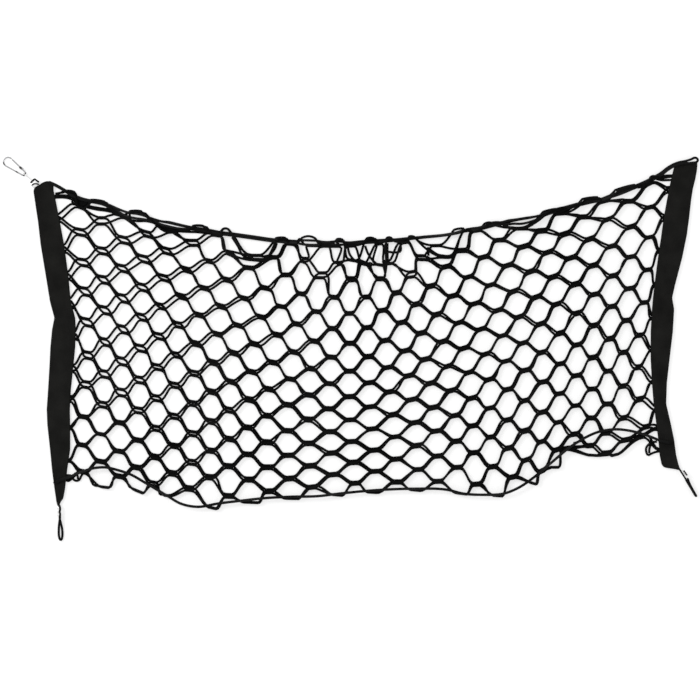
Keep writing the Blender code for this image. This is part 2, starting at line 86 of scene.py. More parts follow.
# %% Camera
CAMERA_HEIGHT = 4.0
VIEW_WIDTH = 1.05              # metres of floor across the view
VIEW_X, VIEW_Y = -0.15 * MM, -20.25 * MM
SENSOR = 36.0
middle = (cad_box[0] + cad_box[1]) / 2
camera_data = bpy.data.cameras.new("camera")
camera_data.sensor_width = SENSOR
camera_data.lens = SENSOR * CAMERA_HEIGHT / VIEW_WIDTH
camera = add_object("camera", camera_data)
camera.location = (VIEW_X, VIEW_Y, CAMERA_HEIGHT)
bpy.context.scene.camera = camera
print("camera over", [round(x / MM, 2) for x in camera.location[:2]],
      "box middle", [round(x / MM, 2) for x in middle[:2]])

# %% [markdown]
# ## Floor and light
# Black cord on a white floor wants a bright, even room: a white sky that the bright metal can mirror, a
# soft fill from the right, and one smaller key light from the upper left, which leaves a faint shadow
# on the lower right of each cord and band. The floor is a light table that glows a little, as is usual
# for such goods, so that the narrow gaps between cords stay bright.

# %% Floor and light
FLOOR_SIZE = 6.0
FLOOR_WHITE = 0.40
FLOOR_GLOW = 0.58
FLOOR_ROUGHNESS = 0.9
SKY_STRENGTH = 0.90
SoftBox = namedtuple("SoftBox", "name watts size x y z")
SOFT_BOXES = (
    SoftBox("key_light", 46.0, 1.0, -2.2, 1.2, 2.0),
    SoftBox("fill_light", 8.0, 2.4, 2.2, 0.4, 2.4),
)
bpy.context.scene.view_settings.view_transform = "Standard"

world = bpy.data.worlds.new("white_room")
world.use_nodes = True
world.node_tree.nodes["Background"].inputs["Color"].default_value = (1, 1, 1, 1)
world.node_tree.nodes["Background"].inputs["Strength"].default_value = SKY_STRENGTH
bpy.context.scene.world = world

for box in SOFT_BOXES:
    light = bpy.data.lights.new(box.name, "AREA")
    light.energy = box.watts
    light.shape = "SQUARE"
    light.size = box.size
    lamp = add_object(box.name, light)
    lamp.location = (box.x, box.y, box.z)
    lamp.rotation_euler = (-lamp.location).to_track_quat("-Z", "Y").to_euler()


def plain_floor():
    """A wide white floor that glows a little."""
    bm = bmesh.new()
    bmesh.ops.create_grid(bm, x_segments=1, y_segments=1, size=FLOOR_SIZE / 2)
    mesh = bpy.data.meshes.new("floor")
    bm.to_mesh(mesh)
    bm.free()
    paint = bpy.data.materials.new("floor_paint")
    paint.use_nodes = True
    shader = paint.node_tree.nodes["Principled BSDF"]
    shader.inputs["Base Color"].default_value = (FLOOR_WHITE, FLOOR_WHITE, FLOOR_WHITE, 1)
    shader.inputs["Roughness"].default_value = FLOOR_ROUGHNESS
    shader.inputs["Emission Color"].default_value = (1, 1, 1, 1)
    shader.inputs["Emission Strength"].default_value = FLOOR_GLOW
    mesh.materials.append(paint)
    add_object("floor", mesh)


plain_floor()
print("a floor and", len(SOFT_BOXES), "lights")

# %% [markdown]
# ## Helpers for lines that bend smoothly
# A cord, a seam and the edge of a band are all a few listed places with a smooth line through them.
# One Hermite curve through the places does for all of them, and a cord is then a curve with a round
# bevel that is made a mesh, which is quick and gives each cord its own running UV map.

# %% Smooth lines and tubes
# Bevel resolutions: 2 gives a tube eight sides, 3 ten and 4 twelve
MESH_SIDES, ROPE_SIDES, LOOP_SIDES = 2, 3, 4
WELD = 0.005 * MM


def through(knots, values, at):
    """The value at one place on the smooth curve through the values at the knots."""
    slopes = np.gradient(values, knots)
    i = int(np.clip(np.searchsorted(knots, at) - 1, 0, len(knots) - 2))
    width = knots[i + 1] - knots[i]
    t = (at - knots[i]) / width
    start = (1 + 2 * t) * (1 - t) ** 2 * values[i] + t * (1 - t) ** 2 * width * slopes[i]
    end = t * t * (3 - 2 * t) * values[i + 1] + t * t * (t - 1) * width * slopes[i + 1]
    return start + end


def smooth_path(points, spacing):
    """Points about `spacing` apart on the smooth curve through the given ones."""
    along = [0.0]
    for near, far in zip(points, points[1:]):
        along.append(along[-1] + (Vector(far) - Vector(near)).length)
    count = max(2, round(along[-1] / spacing))
    return [Vector([through(along, [point[axis] for point in points], along[-1] * step / count)
                    for axis in range(3)]) for step in range(count + 1)]


def places(spots):
    """Spots in mm as places in metres."""
    return [Vector(spot) * MM for spot in spots]


def length_of(points):
    """How long a line through the points is."""
    return sum((Vector(b) - Vector(a)).length for a, b in zip(points, points[1:]))


def show(bm_or_mesh, name, paint, stands_for=()):
    """Make a shown piece of a bmesh or mesh. All of them ride on the net; only the gate's own solid moves."""
    if isinstance(bm_or_mesh, bmesh.types.BMesh):
        mesh = bpy.data.meshes.new(name)
        bm_or_mesh.to_mesh(mesh)
        bm_or_mesh.free()
    else:
        mesh = bm_or_mesh
        mesh.name = name
    mesh.shade_smooth()
    mesh.materials.clear()
    mesh.materials.append(paint)
    piece = add_object(name, mesh)
    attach(piece, "net")
    if stands_for:
        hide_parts(*stands_for)
    print(name, "faces:", len(mesh.polygons))
    return piece


def tube_mesh(name, routes, radius, sides=MESH_SIDES):
    """A mesh of round cords, one along each list of points, with closed ends."""
    curve = bpy.data.curves.new(name, "CURVE")
    curve.dimensions = "3D"
    curve.bevel_depth = radius
    curve.bevel_resolution = sides
    curve.use_fill_caps = True
    for route in routes:
        spline = curve.splines.new("POLY")
        spline.points.add(len(route) - 1)
        for spot, point in zip(spline.points, route):
            spot.co = (*point, 1.0)
    holder = add_object(name + "_curve", curve)
    graph = bpy.context.evaluated_depsgraph_get()
    mesh = bpy.data.meshes.new_from_object(holder.evaluated_get(graph))
    bpy.data.objects.remove(holder, do_unlink=True)
    bm = bmesh.new()
    bm.from_mesh(mesh)
    bmesh.ops.remove_doubles(bm, verts=bm.verts, dist=WELD)
    bmesh.ops.recalc_face_normals(bm, faces=bm.faces)
    bm.to_mesh(mesh)
    bm.free()
    return mesh


# %% [markdown]
# ## Shared effects: braid, cloth weave, lint, wear
# Cord, rope and loops are all braided, so the braid is one node group with its own inputs: how many
# plaits run along and around. The cloth weave, the lint and the wear of the metal are groups too. Each
# puts out only a height or a mask, and the shader stays in each material.

# %% Node helpers
def new_group(name, inputs, outputs):
    """An empty shader node group with named float inputs and outputs."""
    group = bpy.data.node_groups.new(name, "ShaderNodeTree")
    for label, value in inputs:
        socket = group.interface.new_socket(label, in_out="INPUT", socket_type="NodeSocketFloat")
        socket.default_value = value
    for label in outputs:
        group.interface.new_socket(label, in_out="OUTPUT", socket_type="NodeSocketFloat")
    return group, group.nodes.new("NodeGroupInput"), group.nodes.new("NodeGroupOutput")


def feed(tree, socket, value):
    """Give a socket a number, a colour or another node's output."""
    if isinstance(value, tuple):
        socket.default_value = (*value, 1)
    elif isinstance(value, (int, float)):
        socket.default_value = value
    else:
        tree.links.new(value, socket)


def calculate(tree, operation, *values):
    """A Math node; each value is a number or another node's output."""
    node = tree.nodes.new("ShaderNodeMath")
    node.operation = operation
    for socket, value in zip(node.inputs, values):
        feed(tree, socket, value)
    return node.outputs[0]


def noise(tree, vector, scale, detail=2.0):
    """Cloudy noise; the scale is a number or another node's output."""
    node = tree.nodes.new("ShaderNodeTexNoise")
    tree.links.new(vector, node.inputs["Vector"])
    feed(tree, node.inputs["Scale"], scale)
    node.inputs["Detail"].default_value = detail
    return node.outputs["Fac"]


def own_map(tree):
    """The two parts of the piece's own UV map."""
    split = tree.nodes.new("ShaderNodeSeparateXYZ")
    tree.links.new(tree.nodes.new("ShaderNodeUVMap").outputs["UV"], split.inputs[0])
    return split.outputs["X"], split.outputs["Y"]


# %% Braid group
def make_braid_group():
    """Strands of a round braid: two sets of spirals that pass over and under each other."""
    group, given, result = new_group("braid", [("Plaits along", 400.0), ("Plaits around", 4.0)],
                                     ["Height", "Groove"])
    round_cord, down_cord = own_map(group)
    around = calculate(group, "MULTIPLY", round_cord, given.outputs["Plaits around"])
    along = calculate(group, "MULTIPLY", down_cord, given.outputs["Plaits along"])
    spirals = []
    for way in ("ADD", "SUBTRACT"):
        turns = calculate(group, "MULTIPLY", calculate(group, way, around, along), math.tau)
        spirals.append(calculate(group, "SINE", turns))
    crossing = calculate(group, "MULTIPLY", *spirals)
    height = calculate(group, "MULTIPLY_ADD", crossing, 0.5, 0.5)
    groove = calculate(group, "POWER", calculate(group, "SUBTRACT", 1.0, height), 2.0)
    group.links.new(height, result.inputs["Height"])
    group.links.new(groove, result.inputs["Groove"])
    return group


BRAID = make_braid_group()
print("group:", BRAID.name)


# %% Weave group
def make_weave_group():
    """Plain woven cloth: warp and weft threads, one over and one under, on the piece's UV map in metres."""
    group, given, result = new_group("weave", [("Threads per metre", 1400.0)], ["Height", "Gap"])
    turns = []
    for metres in own_map(group):
        threads = calculate(group, "MULTIPLY", metres, given.outputs["Threads per metre"])
        turns.append(calculate(group, "SINE", calculate(group, "MULTIPLY", threads, math.pi)))
    warp, weft = [calculate(group, "ABSOLUTE", turn) for turn in turns]
    over = calculate(group, "GREATER_THAN", calculate(group, "MULTIPLY", *turns), 0.0)
    under = calculate(group, "SUBTRACT", 1.0, over)
    height = calculate(group, "ADD", calculate(group, "MULTIPLY", warp, over),
                       calculate(group, "MULTIPLY", weft, under))
    gap = calculate(group, "SUBTRACT", 1.0, calculate(group, "MAXIMUM", warp, weft))
    group.links.new(height, result.inputs["Height"])
    group.links.new(gap, result.inputs["Gap"])
    return group


WEAVE = make_weave_group()
print("group:", WEAVE.name)


# %% Lint group
SPECK_FROM = 0.68              # only the highest parts of the noise are specks


def make_lint_group():
    """Faded patches and specks of dust that black cloth and cord always have."""
    group, given, result = new_group("lint", [("Patch scale", 30.0), ("Speck scale", 900.0)],
                                     ["Fade", "Specks"])
    where = group.nodes.new("ShaderNodeTexCoord").outputs["Object"]
    fade = noise(group, where, given.outputs["Patch scale"])
    specks = calculate(group, "GREATER_THAN", noise(group, where, given.outputs["Speck scale"]), SPECK_FROM)
    group.links.new(fade, result.inputs["Fade"])
    group.links.new(specks, result.inputs["Specks"])
    return group


LINT = make_lint_group()
print("group:", LINT.name)


# %% Metal wear group
LINES_DRAWN_OUT = 0.08         # along the lines the noise changes at this share of its speed
DENT_SCALE = 420.0


def make_wear_group():
    """Fine drawn lines, dents and finger marks on bright wire and pressed metal."""
    group, given, result = new_group("wear", [("Line scale", 2500.0), ("Mark scale", 260.0)],
                                     ["Lines", "Marks", "Dents"])
    where = group.nodes.new("ShaderNodeTexCoord").outputs["Object"]
    stretch = group.nodes.new("ShaderNodeMapping")
    stretch.inputs["Scale"].default_value = (1.0, LINES_DRAWN_OUT, 1.0)
    group.links.new(where, stretch.inputs["Vector"])
    lines = noise(group, stretch.outputs["Vector"], given.outputs["Line scale"])
    marks = noise(group, where, given.outputs["Mark scale"])
    group.links.new(lines, result.inputs["Lines"])
    group.links.new(marks, result.inputs["Marks"])
    group.links.new(noise(group, where, DENT_SCALE, detail=1.0), result.inputs["Dents"])
    return group


WEAR = make_wear_group()
print("group:", WEAR.name)

# %% [markdown]
# ## Materials
# Each finish places the groups with its own values: dull black knitted cord for the mesh, a rounder
# and slightly shinier braid for the elastic, black folded cloth, bright wire and pressed metal.


# %% Cord and cloth materials
MIX_LOW, MIX_HIGH, MIX_RESULT = 6, 7, 2     # the colour sockets of a Mix node
CLOTH_SPECULAR = 0.06
SPECKS_ON_CORD, SPECKS_ON_CLOTH = 0.5, 0.4
WEAVE_SHOWS, CLOTH_DARKENS = 0.5, 0.35
CLOTH_DARK, CLOTH_LIGHT = (0.002, 0.002, 0.0018), (0.013, 0.0128, 0.0116)
CLOTH_ROUGHNESS, CLOTH_SHEEN = 0.75, 0.02
THREAD_DEPTH = 0.15 * MM
HOLLOW_ROUGHENS = 0.2          # how much rougher a groove or a gap is


def mixed_colour(tree, mask, low, high):
    """A colour between two, by a mask."""
    mix = tree.nodes.new("ShaderNodeMix")
    mix.data_type = "RGBA"
    tree.links.new(mask, mix.inputs["Factor"])
    feed(tree, mix.inputs[MIX_LOW], low)
    feed(tree, mix.inputs[MIX_HIGH], high)
    return mix.outputs[MIX_RESULT]


def bumped(tree, shader, height, distance):
    """Raise the surface by a height, as a bump."""
    bump = tree.nodes.new("ShaderNodeBump")
    bump.inputs["Distance"].default_value = distance
    tree.links.new(height, bump.inputs["Height"])
    tree.links.new(bump.outputs["Normal"], shader.inputs["Normal"])


def new_material(name):
    """A material, its nodes and its Principled shader."""
    paint = bpy.data.materials.new(name)
    paint.use_nodes = True
    return paint, paint.node_tree, paint.node_tree.nodes["Principled BSDF"]


def place(tree, group, **values):
    """Use a node group with values of its own."""
    node = tree.nodes.new("ShaderNodeGroup")
    node.node_tree = group
    for label, value in values.items():
        node.inputs[label.replace("_", " ")].default_value = value
    return node


def braided(name, dark, light, along, around, depth, roughness, sheen):
    """Black braided cord between two greys, with painted shade: darker grooves, lighter plait tops; lint
    fades and specks it.
    """
    paint, tree, shader = new_material(name)
    braid = place(tree, BRAID, Plaits_along=along, Plaits_around=around)
    lint = place(tree, LINT, Patch_scale=25.0, Speck_scale=1400.0)
    # painted shade: the braid's height darkens the grooves and lightens the plaits; the lint's faded patches
    # and specks are real
    shade_and_lint = calculate(tree, "MULTIPLY", braid.outputs["Height"], lint.outputs["Fade"])
    shade_and_lint = calculate(tree, "ADD", shade_and_lint, calculate(tree, "MULTIPLY", lint.outputs["Specks"], SPECKS_ON_CORD))
    colour = mixed_colour(tree, shade_and_lint, (dark, dark, dark), (light, light, light))
    tree.links.new(colour, shader.inputs["Base Color"])
    rough = calculate(tree, "MULTIPLY_ADD", braid.outputs["Groove"], HOLLOW_ROUGHENS, roughness)
    tree.links.new(rough, shader.inputs["Roughness"])
    bumped(tree, shader, braid.outputs["Height"], depth)
    shader.inputs["Sheen Weight"].default_value = sheen
    shader.inputs["Sheen Roughness"].default_value = 0.5
    shader.inputs["Specular IOR Level"].default_value = CLOTH_SPECULAR
    return paint


MESH_CORD = braided("mesh_cord", dark=0.0005, light=0.010, along=900.0, around=3.0, depth=0.25 * MM,
                    roughness=0.75, sheen=0.0)
ROPE_CORD = braided("rope_cord", dark=0.002, light=0.026, along=520.0, around=4.0, depth=0.35 * MM,
                    roughness=0.6, sheen=0.01)
LOOP_CORD = braided("loop_cord", dark=0.001, light=0.009, along=24.0, around=4.0, depth=0.3 * MM,
                    roughness=0.6, sheen=0.01)


def woven(name):
    """Folded black cloth: a close plain weave with painted shade between its threads, faded on its folds,
    with lint.
    """
    paint, tree, shader = new_material(name)
    weave = place(tree, WEAVE, Threads_per_metre=1500.0)
    lint = place(tree, LINT, Patch_scale=40.0, Speck_scale=1100.0)
    # painted shade: the weave's height lightens the threads and darkens the gaps between them; the lint's
    # faded patches and specks are real
    shade_and_lint = calculate(tree, "MULTIPLY_ADD", weave.outputs["Height"], WEAVE_SHOWS, lint.outputs["Fade"])
    shade_and_lint = calculate(tree, "SUBTRACT", shade_and_lint, CLOTH_DARKENS)
    shade_and_lint = calculate(tree, "ADD", shade_and_lint, calculate(tree, "MULTIPLY", lint.outputs["Specks"], SPECKS_ON_CLOTH))
    tree.links.new(mixed_colour(tree, shade_and_lint, CLOTH_DARK, CLOTH_LIGHT), shader.inputs["Base Color"])
    rough = calculate(tree, "MULTIPLY_ADD", weave.outputs["Gap"], HOLLOW_ROUGHENS, CLOTH_ROUGHNESS)
    tree.links.new(rough, shader.inputs["Roughness"])
    bumped(tree, shader, weave.outputs["Height"], THREAD_DEPTH)
    shader.inputs["Sheen Weight"].default_value = CLOTH_SHEEN
    shader.inputs["Specular IOR Level"].default_value = CLOTH_SPECULAR
    return paint


BAND_CLOTH = woven("band_cloth")
print("materials:", MESH_CORD.name, ROPE_CORD.name, LOOP_CORD.name, BAND_CLOTH.name)


# %% Metal materials
# The gate's hinge and tip and both ends of the hook, where the metal is made darker
DARK_SPOTS_AT = rows(Spot,
    (-494.0, 252.0, 3.0), (-488.0, 243.0, 3.2), (-520.5, 258.8, 2.0), (-499.5, 246.3, 1.0),
)
DARK_SPOT_REACH = 3.6 * MM
DARK_SPOT_FULLNESS = 3.0           # how soon the mask is full, towards the middle of a place
DARK_SPOT_COLOUR = (0.035, 0.034, 0.032)
LINES_ROUGHEN, LINES_RAISE = 0.15, 0.2


def dark_spots(tree):
    """A mask that is 1 at the darkened places and 0 away from them."""
    where = tree.nodes.new("ShaderNodeTexCoord")
    mask = 0.0
    for spot in DARK_SPOTS_AT:
        reach = tree.nodes.new("ShaderNodeVectorMath")
        reach.operation = "DISTANCE"
        tree.links.new(where.outputs["Object"], reach.inputs[0])
        reach.inputs[1].default_value = Vector(spot) * MM
        away = calculate(tree, "DIVIDE", reach.outputs["Value"], DARK_SPOT_REACH)
        mask = calculate(tree, "MAXIMUM", mask, calculate(tree, "SUBTRACT", 1.0, away))
    return calculate(tree, "MINIMUM", calculate(tree, "MULTIPLY", mask, DARK_SPOT_FULLNESS), 1.0)


def metal(name, low, high, roughness, dent_depth, dark_spotted):
    """Bright metal between two colours, with drawn lines, marks and dents, and darker spots where asked."""
    paint, tree, shader = new_material(name)
    wear = place(tree, WEAR, Line_scale=2500.0, Mark_scale=300.0)
    colour = mixed_colour(tree, wear.outputs["Marks"], low, high)
    if dark_spotted:
        # the metal is darker at the spots listed above
        colour = mixed_colour(tree, dark_spots(tree), colour, DARK_SPOT_COLOUR)
    tree.links.new(colour, shader.inputs["Base Color"])
    rough = calculate(tree, "MULTIPLY_ADD", wear.outputs["Lines"], LINES_ROUGHEN, roughness)
    tree.links.new(rough, shader.inputs["Roughness"])
    shader.inputs["Metallic"].default_value = 1.0
    lines = calculate(tree, "MULTIPLY", wear.outputs["Lines"], LINES_RAISE)
    bumped(tree, shader, calculate(tree, "ADD", wear.outputs["Dents"], lines), dent_depth)
    return paint


BRIGHT_STEEL = metal("bright_steel", (0.29, 0.29, 0.295), (0.54, 0.54, 0.55), roughness=0.16,
                     dent_depth=0.1 * MM, dark_spotted=True)
CRIMP_STEEL = metal("crimp_steel", (0.62, 0.62, 0.62), (0.92, 0.92, 0.91), roughness=0.30,
                    dent_depth=0.35 * MM, dark_spotted=False)
EYE_STEEL = metal("eye_steel", (0.70, 0.70, 0.70), (0.93, 0.93, 0.93), roughness=0.12,
                  dent_depth=0.05 * MM, dark_spotted=False)
print("materials:", BRIGHT_STEEL.name, CRIMP_STEEL.name, EYE_STEEL.name)

# %% [markdown]
# ## The two bottom loops
# Each bottom corner ends in a short loop of thin elastic cord, crimped where its ends meet. A loop is a
# free cord of known length that goes back into its crimp: it is laid over itself, doubled, as it lies
# on the floor. It is a round tube along the same route as its solid, with points close together.

# %% Bottom loops
LEFT_LOOP_RADIUS, RIGHT_LOOP_RADIUS = 1.8 * MM, 1.7 * MM
LOOP_STEP = 1.2 * MM
LEFT_LOOP = rows(Spot,
    (-435.0, -270.0, 1.7), (-435.2, -273.4, 1.7), (-435.8, -278.0, 1.7), (-436.5, -284.0, 1.7),
    (-436.8, -291.0, 1.7), (-436.7, -297.5, 1.7), (-436.0, -301.5, 1.7), (-434.9, -304.2, 1.7),
    (-433.8, -305.1, 1.7), (-432.7, -304.1, 1.7), (-431.7, -301.0, 1.7), (-431.3, -297.0, 1.7),
    (-431.5, -291.0, 1.9), (-432.3, -285.0, 2.8), (-433.5, -279.5, 4.2), (-434.6, -275.0, 5.1),
    (-435.0, -270.0, 5.2)
)
RIGHT_LOOP = rows(Spot,
    (503.2, -213.8, 1.7), (506.6, -219.8, 1.7), (511.3, -227.5, 1.7), (516.0, -235.5, 1.7),
    (517.3, -237.7, 2.0), (518.1, -239.0, 2.8), (518.6, -239.2, 3.7), (518.3, -238.2, 4.6),
    (517.0, -236.2, 5.1), (512.4, -227.9, 5.2), (508.4, -220.2, 5.2), (505.6, -212.6, 5.2)
)


def cord_loop(name, spots, radius):
    """A free cord along the spots, which stands for the solid of the same name."""
    route = smooth_path(places(spots), LOOP_STEP)
    piece = show(tube_mesh(name, [route], radius, LOOP_SIDES), name + "_cord", LOOP_CORD,
                 stands_for=(name,))
    print(name, "length in mm:", round(length_of(route) / MM, 1))


cord_loop("bottom_left_loop", LEFT_LOOP, LEFT_LOOP_RADIUS)
cord_loop("bottom_right_loop", RIGHT_LOOP, RIGHT_LOOP_RADIUS)

# %% [markdown]
# ## The side bands
# Each side is a strip of black cloth folded over the end of the mesh and sewn shut, about 30 mm wide,
# and drawn in at its ends. A plain box would have hard edges, so a fine grid is shaped to the band's
# outline, thickened by an extrusion and crowned, with a turned hem along each edge and long soft
# creases where the cloth is pulled.

# %% Band outlines
BAND_THICKNESS = 4.4 * MM
BandRow = namedtuple("BandRow", "height outer inner")
LEFT_BAND = rows(BandRow,
    (233, -455, -449), (231, -461, -445.5), (226.5, -467, -444.5), (223, -473, -444.5),
    (219, -475, -444.5), (205, -473, -441.5), (172, -468, -435), (137, -464, -428.5), (89, -456, -422),
    (52, -450, -418.5), (28, -443.5, -412), (10, -447, -411), (-16, -449.5, -412), (-47, -451, -415),
    (-80, -453, -418.5), (-110, -455, -420), (-133, -454, -419.5), (-169, -450, -419.5),
    (-200, -447, -424), (-230, -443, -427.5), (-243, -441, -430), (-247.5, -440.5, -433.5),
    (-254, -438.5, -436.5)
)
RIGHT_BAND = rows(BandRow,
    (261.5, 520.5, 493), (258, 521, 487), (248, 520, 484), (235, 517.5, 481), (221, 514, 478),
    (205, 511.5, 475), (178, 508.5, 470), (152, 505, 466.5), (118, 498, 461.5), (76, 487, 456),
    (58, 483, 454), (41, 486, 452.5), (7, 484, 450.5), (-35, 479, 450.5), (-70, 475, 452.5),
    (-101, 474, 455), (-131, 481, 459), (-155, 486, 462), (-178, 489, 464), (-192, 492.5, 467),
    (-197, 494.2, 471), (-198.5, 495.0, 486), (-200.2, 496.4, 491.5)
)


def band_edge(band, height, edge):
    """Where a band's outer or inner edge is at one height, in metres."""
    rising = band[::-1]
    return np.interp(height / MM, [row.height for row in rising], [getattr(row, edge) for row in rising]) * MM


print("left band, mm wide at height 0:",
      round((band_edge(LEFT_BAND, 0, "inner") - band_edge(LEFT_BAND, 0, "outer")) / MM, 1))

# %% Side bands
BAND_COLUMNS = 24
BAND_STEP = 3.0 * MM
HEM_WIDTH = 3.0 * MM
HEM_RISE = 0.5 * MM
BAND_EDGE_DROP = 1.1 * MM
BAND_EDGE_WIDTH = 1.6 * MM
BAND_UNDERSIDE = 0.25 * MM     # how high the cloth's lower side lies above the floor
Crease = namedtuple("Crease", "height length slant turn")
CREASES = rows(Crease, (0.35, 21, 5.0, 1.0), (0.22, 8.3, -7.0, 2.0), (0.12, 3.9, 11.0, 3.0))


def band_surface(side, width, height, seed):
    """How high the cloth stands, from its outer edge (side 0) to its inner one (side 1)."""
    to_edge = min(side, 1 - side) * width
    edge = min(1.0, to_edge / BAND_EDGE_WIDTH)
    rise = BAND_THICKNESS - BAND_EDGE_DROP * (1 - edge) ** 2
    if to_edge < HEM_WIDTH:
        rise += HEM_RISE * math.sin(math.pi * to_edge / HEM_WIDTH)
    for crease in CREASES:
        angle = height / (crease.length * MM) + crease.slant * side + crease.turn * seed
        rise += crease.height * MM * math.sin(angle) * edge
    return rise


def side_band(name, band, seed):
    """A strip of folded cloth with hems and creases, flat below."""
    heights = [row.height * MM for row in band]
    rows_down = [heights[0]]
    for near, far in zip(heights, heights[1:]):
        steps = max(1, round((near - far) / BAND_STEP))
        rows_down += [near + (far - near) * step / steps for step in range(1, steps + 1)]
    bm = bmesh.new()
    bmesh.ops.create_grid(bm, x_segments=BAND_COLUMNS, y_segments=len(rows_down) - 1, size=0.5)
    thread = bm.loops.layers.uv.new("UVMap")
    for vert in bm.verts:
        height = rows_down[round((0.5 - vert.co.y) * (len(rows_down) - 1))]
        outer, inner = band_edge(band, height, "outer"), band_edge(band, height, "inner")
        vert.co = Vector((outer + (vert.co.x + 0.5) * (inner - outer), height, BAND_UNDERSIDE))
    raised = bmesh.ops.extrude_face_region(bm, geom=bm.faces[:])
    top = [item for item in raised["geom"] if isinstance(item, bmesh.types.BMVert)]
    for vert in top:
        outer, inner = band_edge(band, vert.co.y, "outer"), band_edge(band, vert.co.y, "inner")
        side = min(max((vert.co.x - outer) / (inner - outer), 0.0), 1.0)
        vert.co.z = band_surface(side, abs(inner - outer), vert.co.y, seed)
    bmesh.ops.recalc_face_normals(bm, faces=bm.faces)
    for face in bm.faces:
        for loop in face.loops:
            loop[thread].uv = (loop.vert.co.x + loop.vert.co.z, loop.vert.co.y)
    piece = show(bm, name + "_cloth", BAND_CLOTH, stands_for=(name,))
    round_off = piece.modifiers.new("round_off", "SUBSURF")
    round_off.levels = round_off.render_levels = 1
    return piece


left_band = side_band("left_band", LEFT_BAND, seed=0.0)
right_band = side_band("right_band", RIGHT_BAND, seed=1.7)


# %% [markdown]
# ## The mesh
# Knotless mesh is knitted from cords that zigzag: each cord runs beside its upper neighbour for a
# short joint, then beside its lower neighbour. Columns run across and rows down, and a joint sits at
# every second place. Modelling each cord as one long tube gives true joints of two strands side by
# side. The net lies double, so there are two full layers, and the front one has slipped a little.

# %% How the mesh lies
FIRST_COLUMN, LAST_COLUMN = -15, 17
FIRST_ROW, LAST_ROW = -8, 12
LAY_ROWS = (-8, -6, -4, 0, 4, 8, 12)
SEAM_INSIDE = 1.5 * MM         # the last joints lie just inside the folded cloth
SEAM_HEIGHT = 2.0 * MM
SEAM_HALF = 1.0 * MM
SEAM_JOINT = 3.5 * MM
Lay = namedtuple("Lay", "column rope near high upper lower low foot")
MESH_LAY = rows(Lay,
    (-15, (-440, 220), (-440, 186), (-433, 137), (-424, 50), (-418, -48), (-430, -137), (-426, -218)),
    (-12, (-336, 183), (-338, 163), (-341, 123), (-340, 34), (-342, -61), (-346, -151), (-347, -232)),
    (-8, (-198, 153), (-208, 131), (-215, 92), (-229, 11), (-235, -78), (-236, -168), (-242, -248)),
    (-4, (-87, 138), (-92, 120), (-99, 68), (-113, -18), (-123, -99), (-124, -178), (-120, -250)),
    (0, (4, 136), (4, 106), (0, 58), (0, -32), (-1, -108), (4, -173), (9, -235)),
    (4, (82, 143), (86, 114), (95, 70), (110, -15), (123, -88), (131, -160), (132, -236)),
    (8, (186, 158), (195, 138), (206, 97), (225, 20), (236, -57), (236, -147), (244, -227)),
    (12, (316, 188), (318, 169), (327, 136), (339, 57), (340, -36), (337, -124), (330, -189)),
    (15, (411, 216), (415, 203), (420, 164), (419, 72), (410, -24), (410, -120), (411, -177)),
    (17, (474, 236), (480, 220), (477, 178), (469, 78), (453, -20), (462, -108), (465, -162)),
)

# Joints that lie off the even mesh, and how far
Stray = namedtuple("Stray", "column row x y")
STRAYS = rows(Stray,
    (-15, 10, 0, -8), (-14, 5, -1.5, 3.5), (-15, -6, 0, -8.5), (-15, -4, 0, -5.5), (-15, -2, 0, -2.5),
    (-11, -6, 1.5, -1.5), (-13, -6, 1, -1), (-12, 11, 1, 2.5), (-6, 11, 0, -7), (6, 11, 0, -7.5),
    (8, 11, 1, -3.5), (10, 11, 0, -11.5), (12, 11, -10.5, 4.5), (14, 11, 0, -7.5), (16, 11, -1, 7.5),
    (7, 10, 0, -3.5), (9, 10, 0, -4), (11, 10, 0, -6), (13, 10, 1, -8.3), (15, 10, 1, -4.5),
    (10, 9, 0, -3), (12, 9, 0, -4.5), (14, 9, 0, -5.3), (16, 9, 8, -4), (15, 8, 0, -2.3)
)
STRAY_BY = {(stray.column, stray.row): Vector((stray.x, stray.y, 0)) * MM for stray in STRAYS}


def spread(table, levels, column, row, line):
    """X and Y, in metres, between the columns and the levels of a table, by a line through its values."""
    columns = [station.column for station in table]
    spot = []
    for axis in (0, 1):
        by_level = [line(columns, [station[level + 1][axis] for station in table], column)
                    for level in range(len(levels))]
        spot.append(line(levels, by_level, row) * MM)
    return spot


def lay(column, row):
    """The place on the floor of a column and row of the mesh."""
    x, y = spread(MESH_LAY, LAY_ROWS, column, row, through)
    left = band_edge(LEFT_BAND, y, "inner") - SEAM_INSIDE
    right = band_edge(RIGHT_BAND, y, "inner") + SEAM_INSIDE
    if column <= FIRST_COLUMN:
        x = left
    elif column >= LAST_COLUMN:
        x = right
    else:
        x = min(max(x, left + SEAM_JOINT + SEAM_INSIDE), right - SEAM_JOINT - SEAM_INSIDE)
    return Vector((x, y, 0.0))


print("a cell in the middle is", round((lay(0, 1) - lay(0, 3)).length / MM), "mm high")

# %% [markdown]
# ### How far the front layer has slipped
# The two layers were laid down by hand, so the front one is a few millimetres lower, and more to one
# side near the left band. The slip is set at a few places and worked out between them.

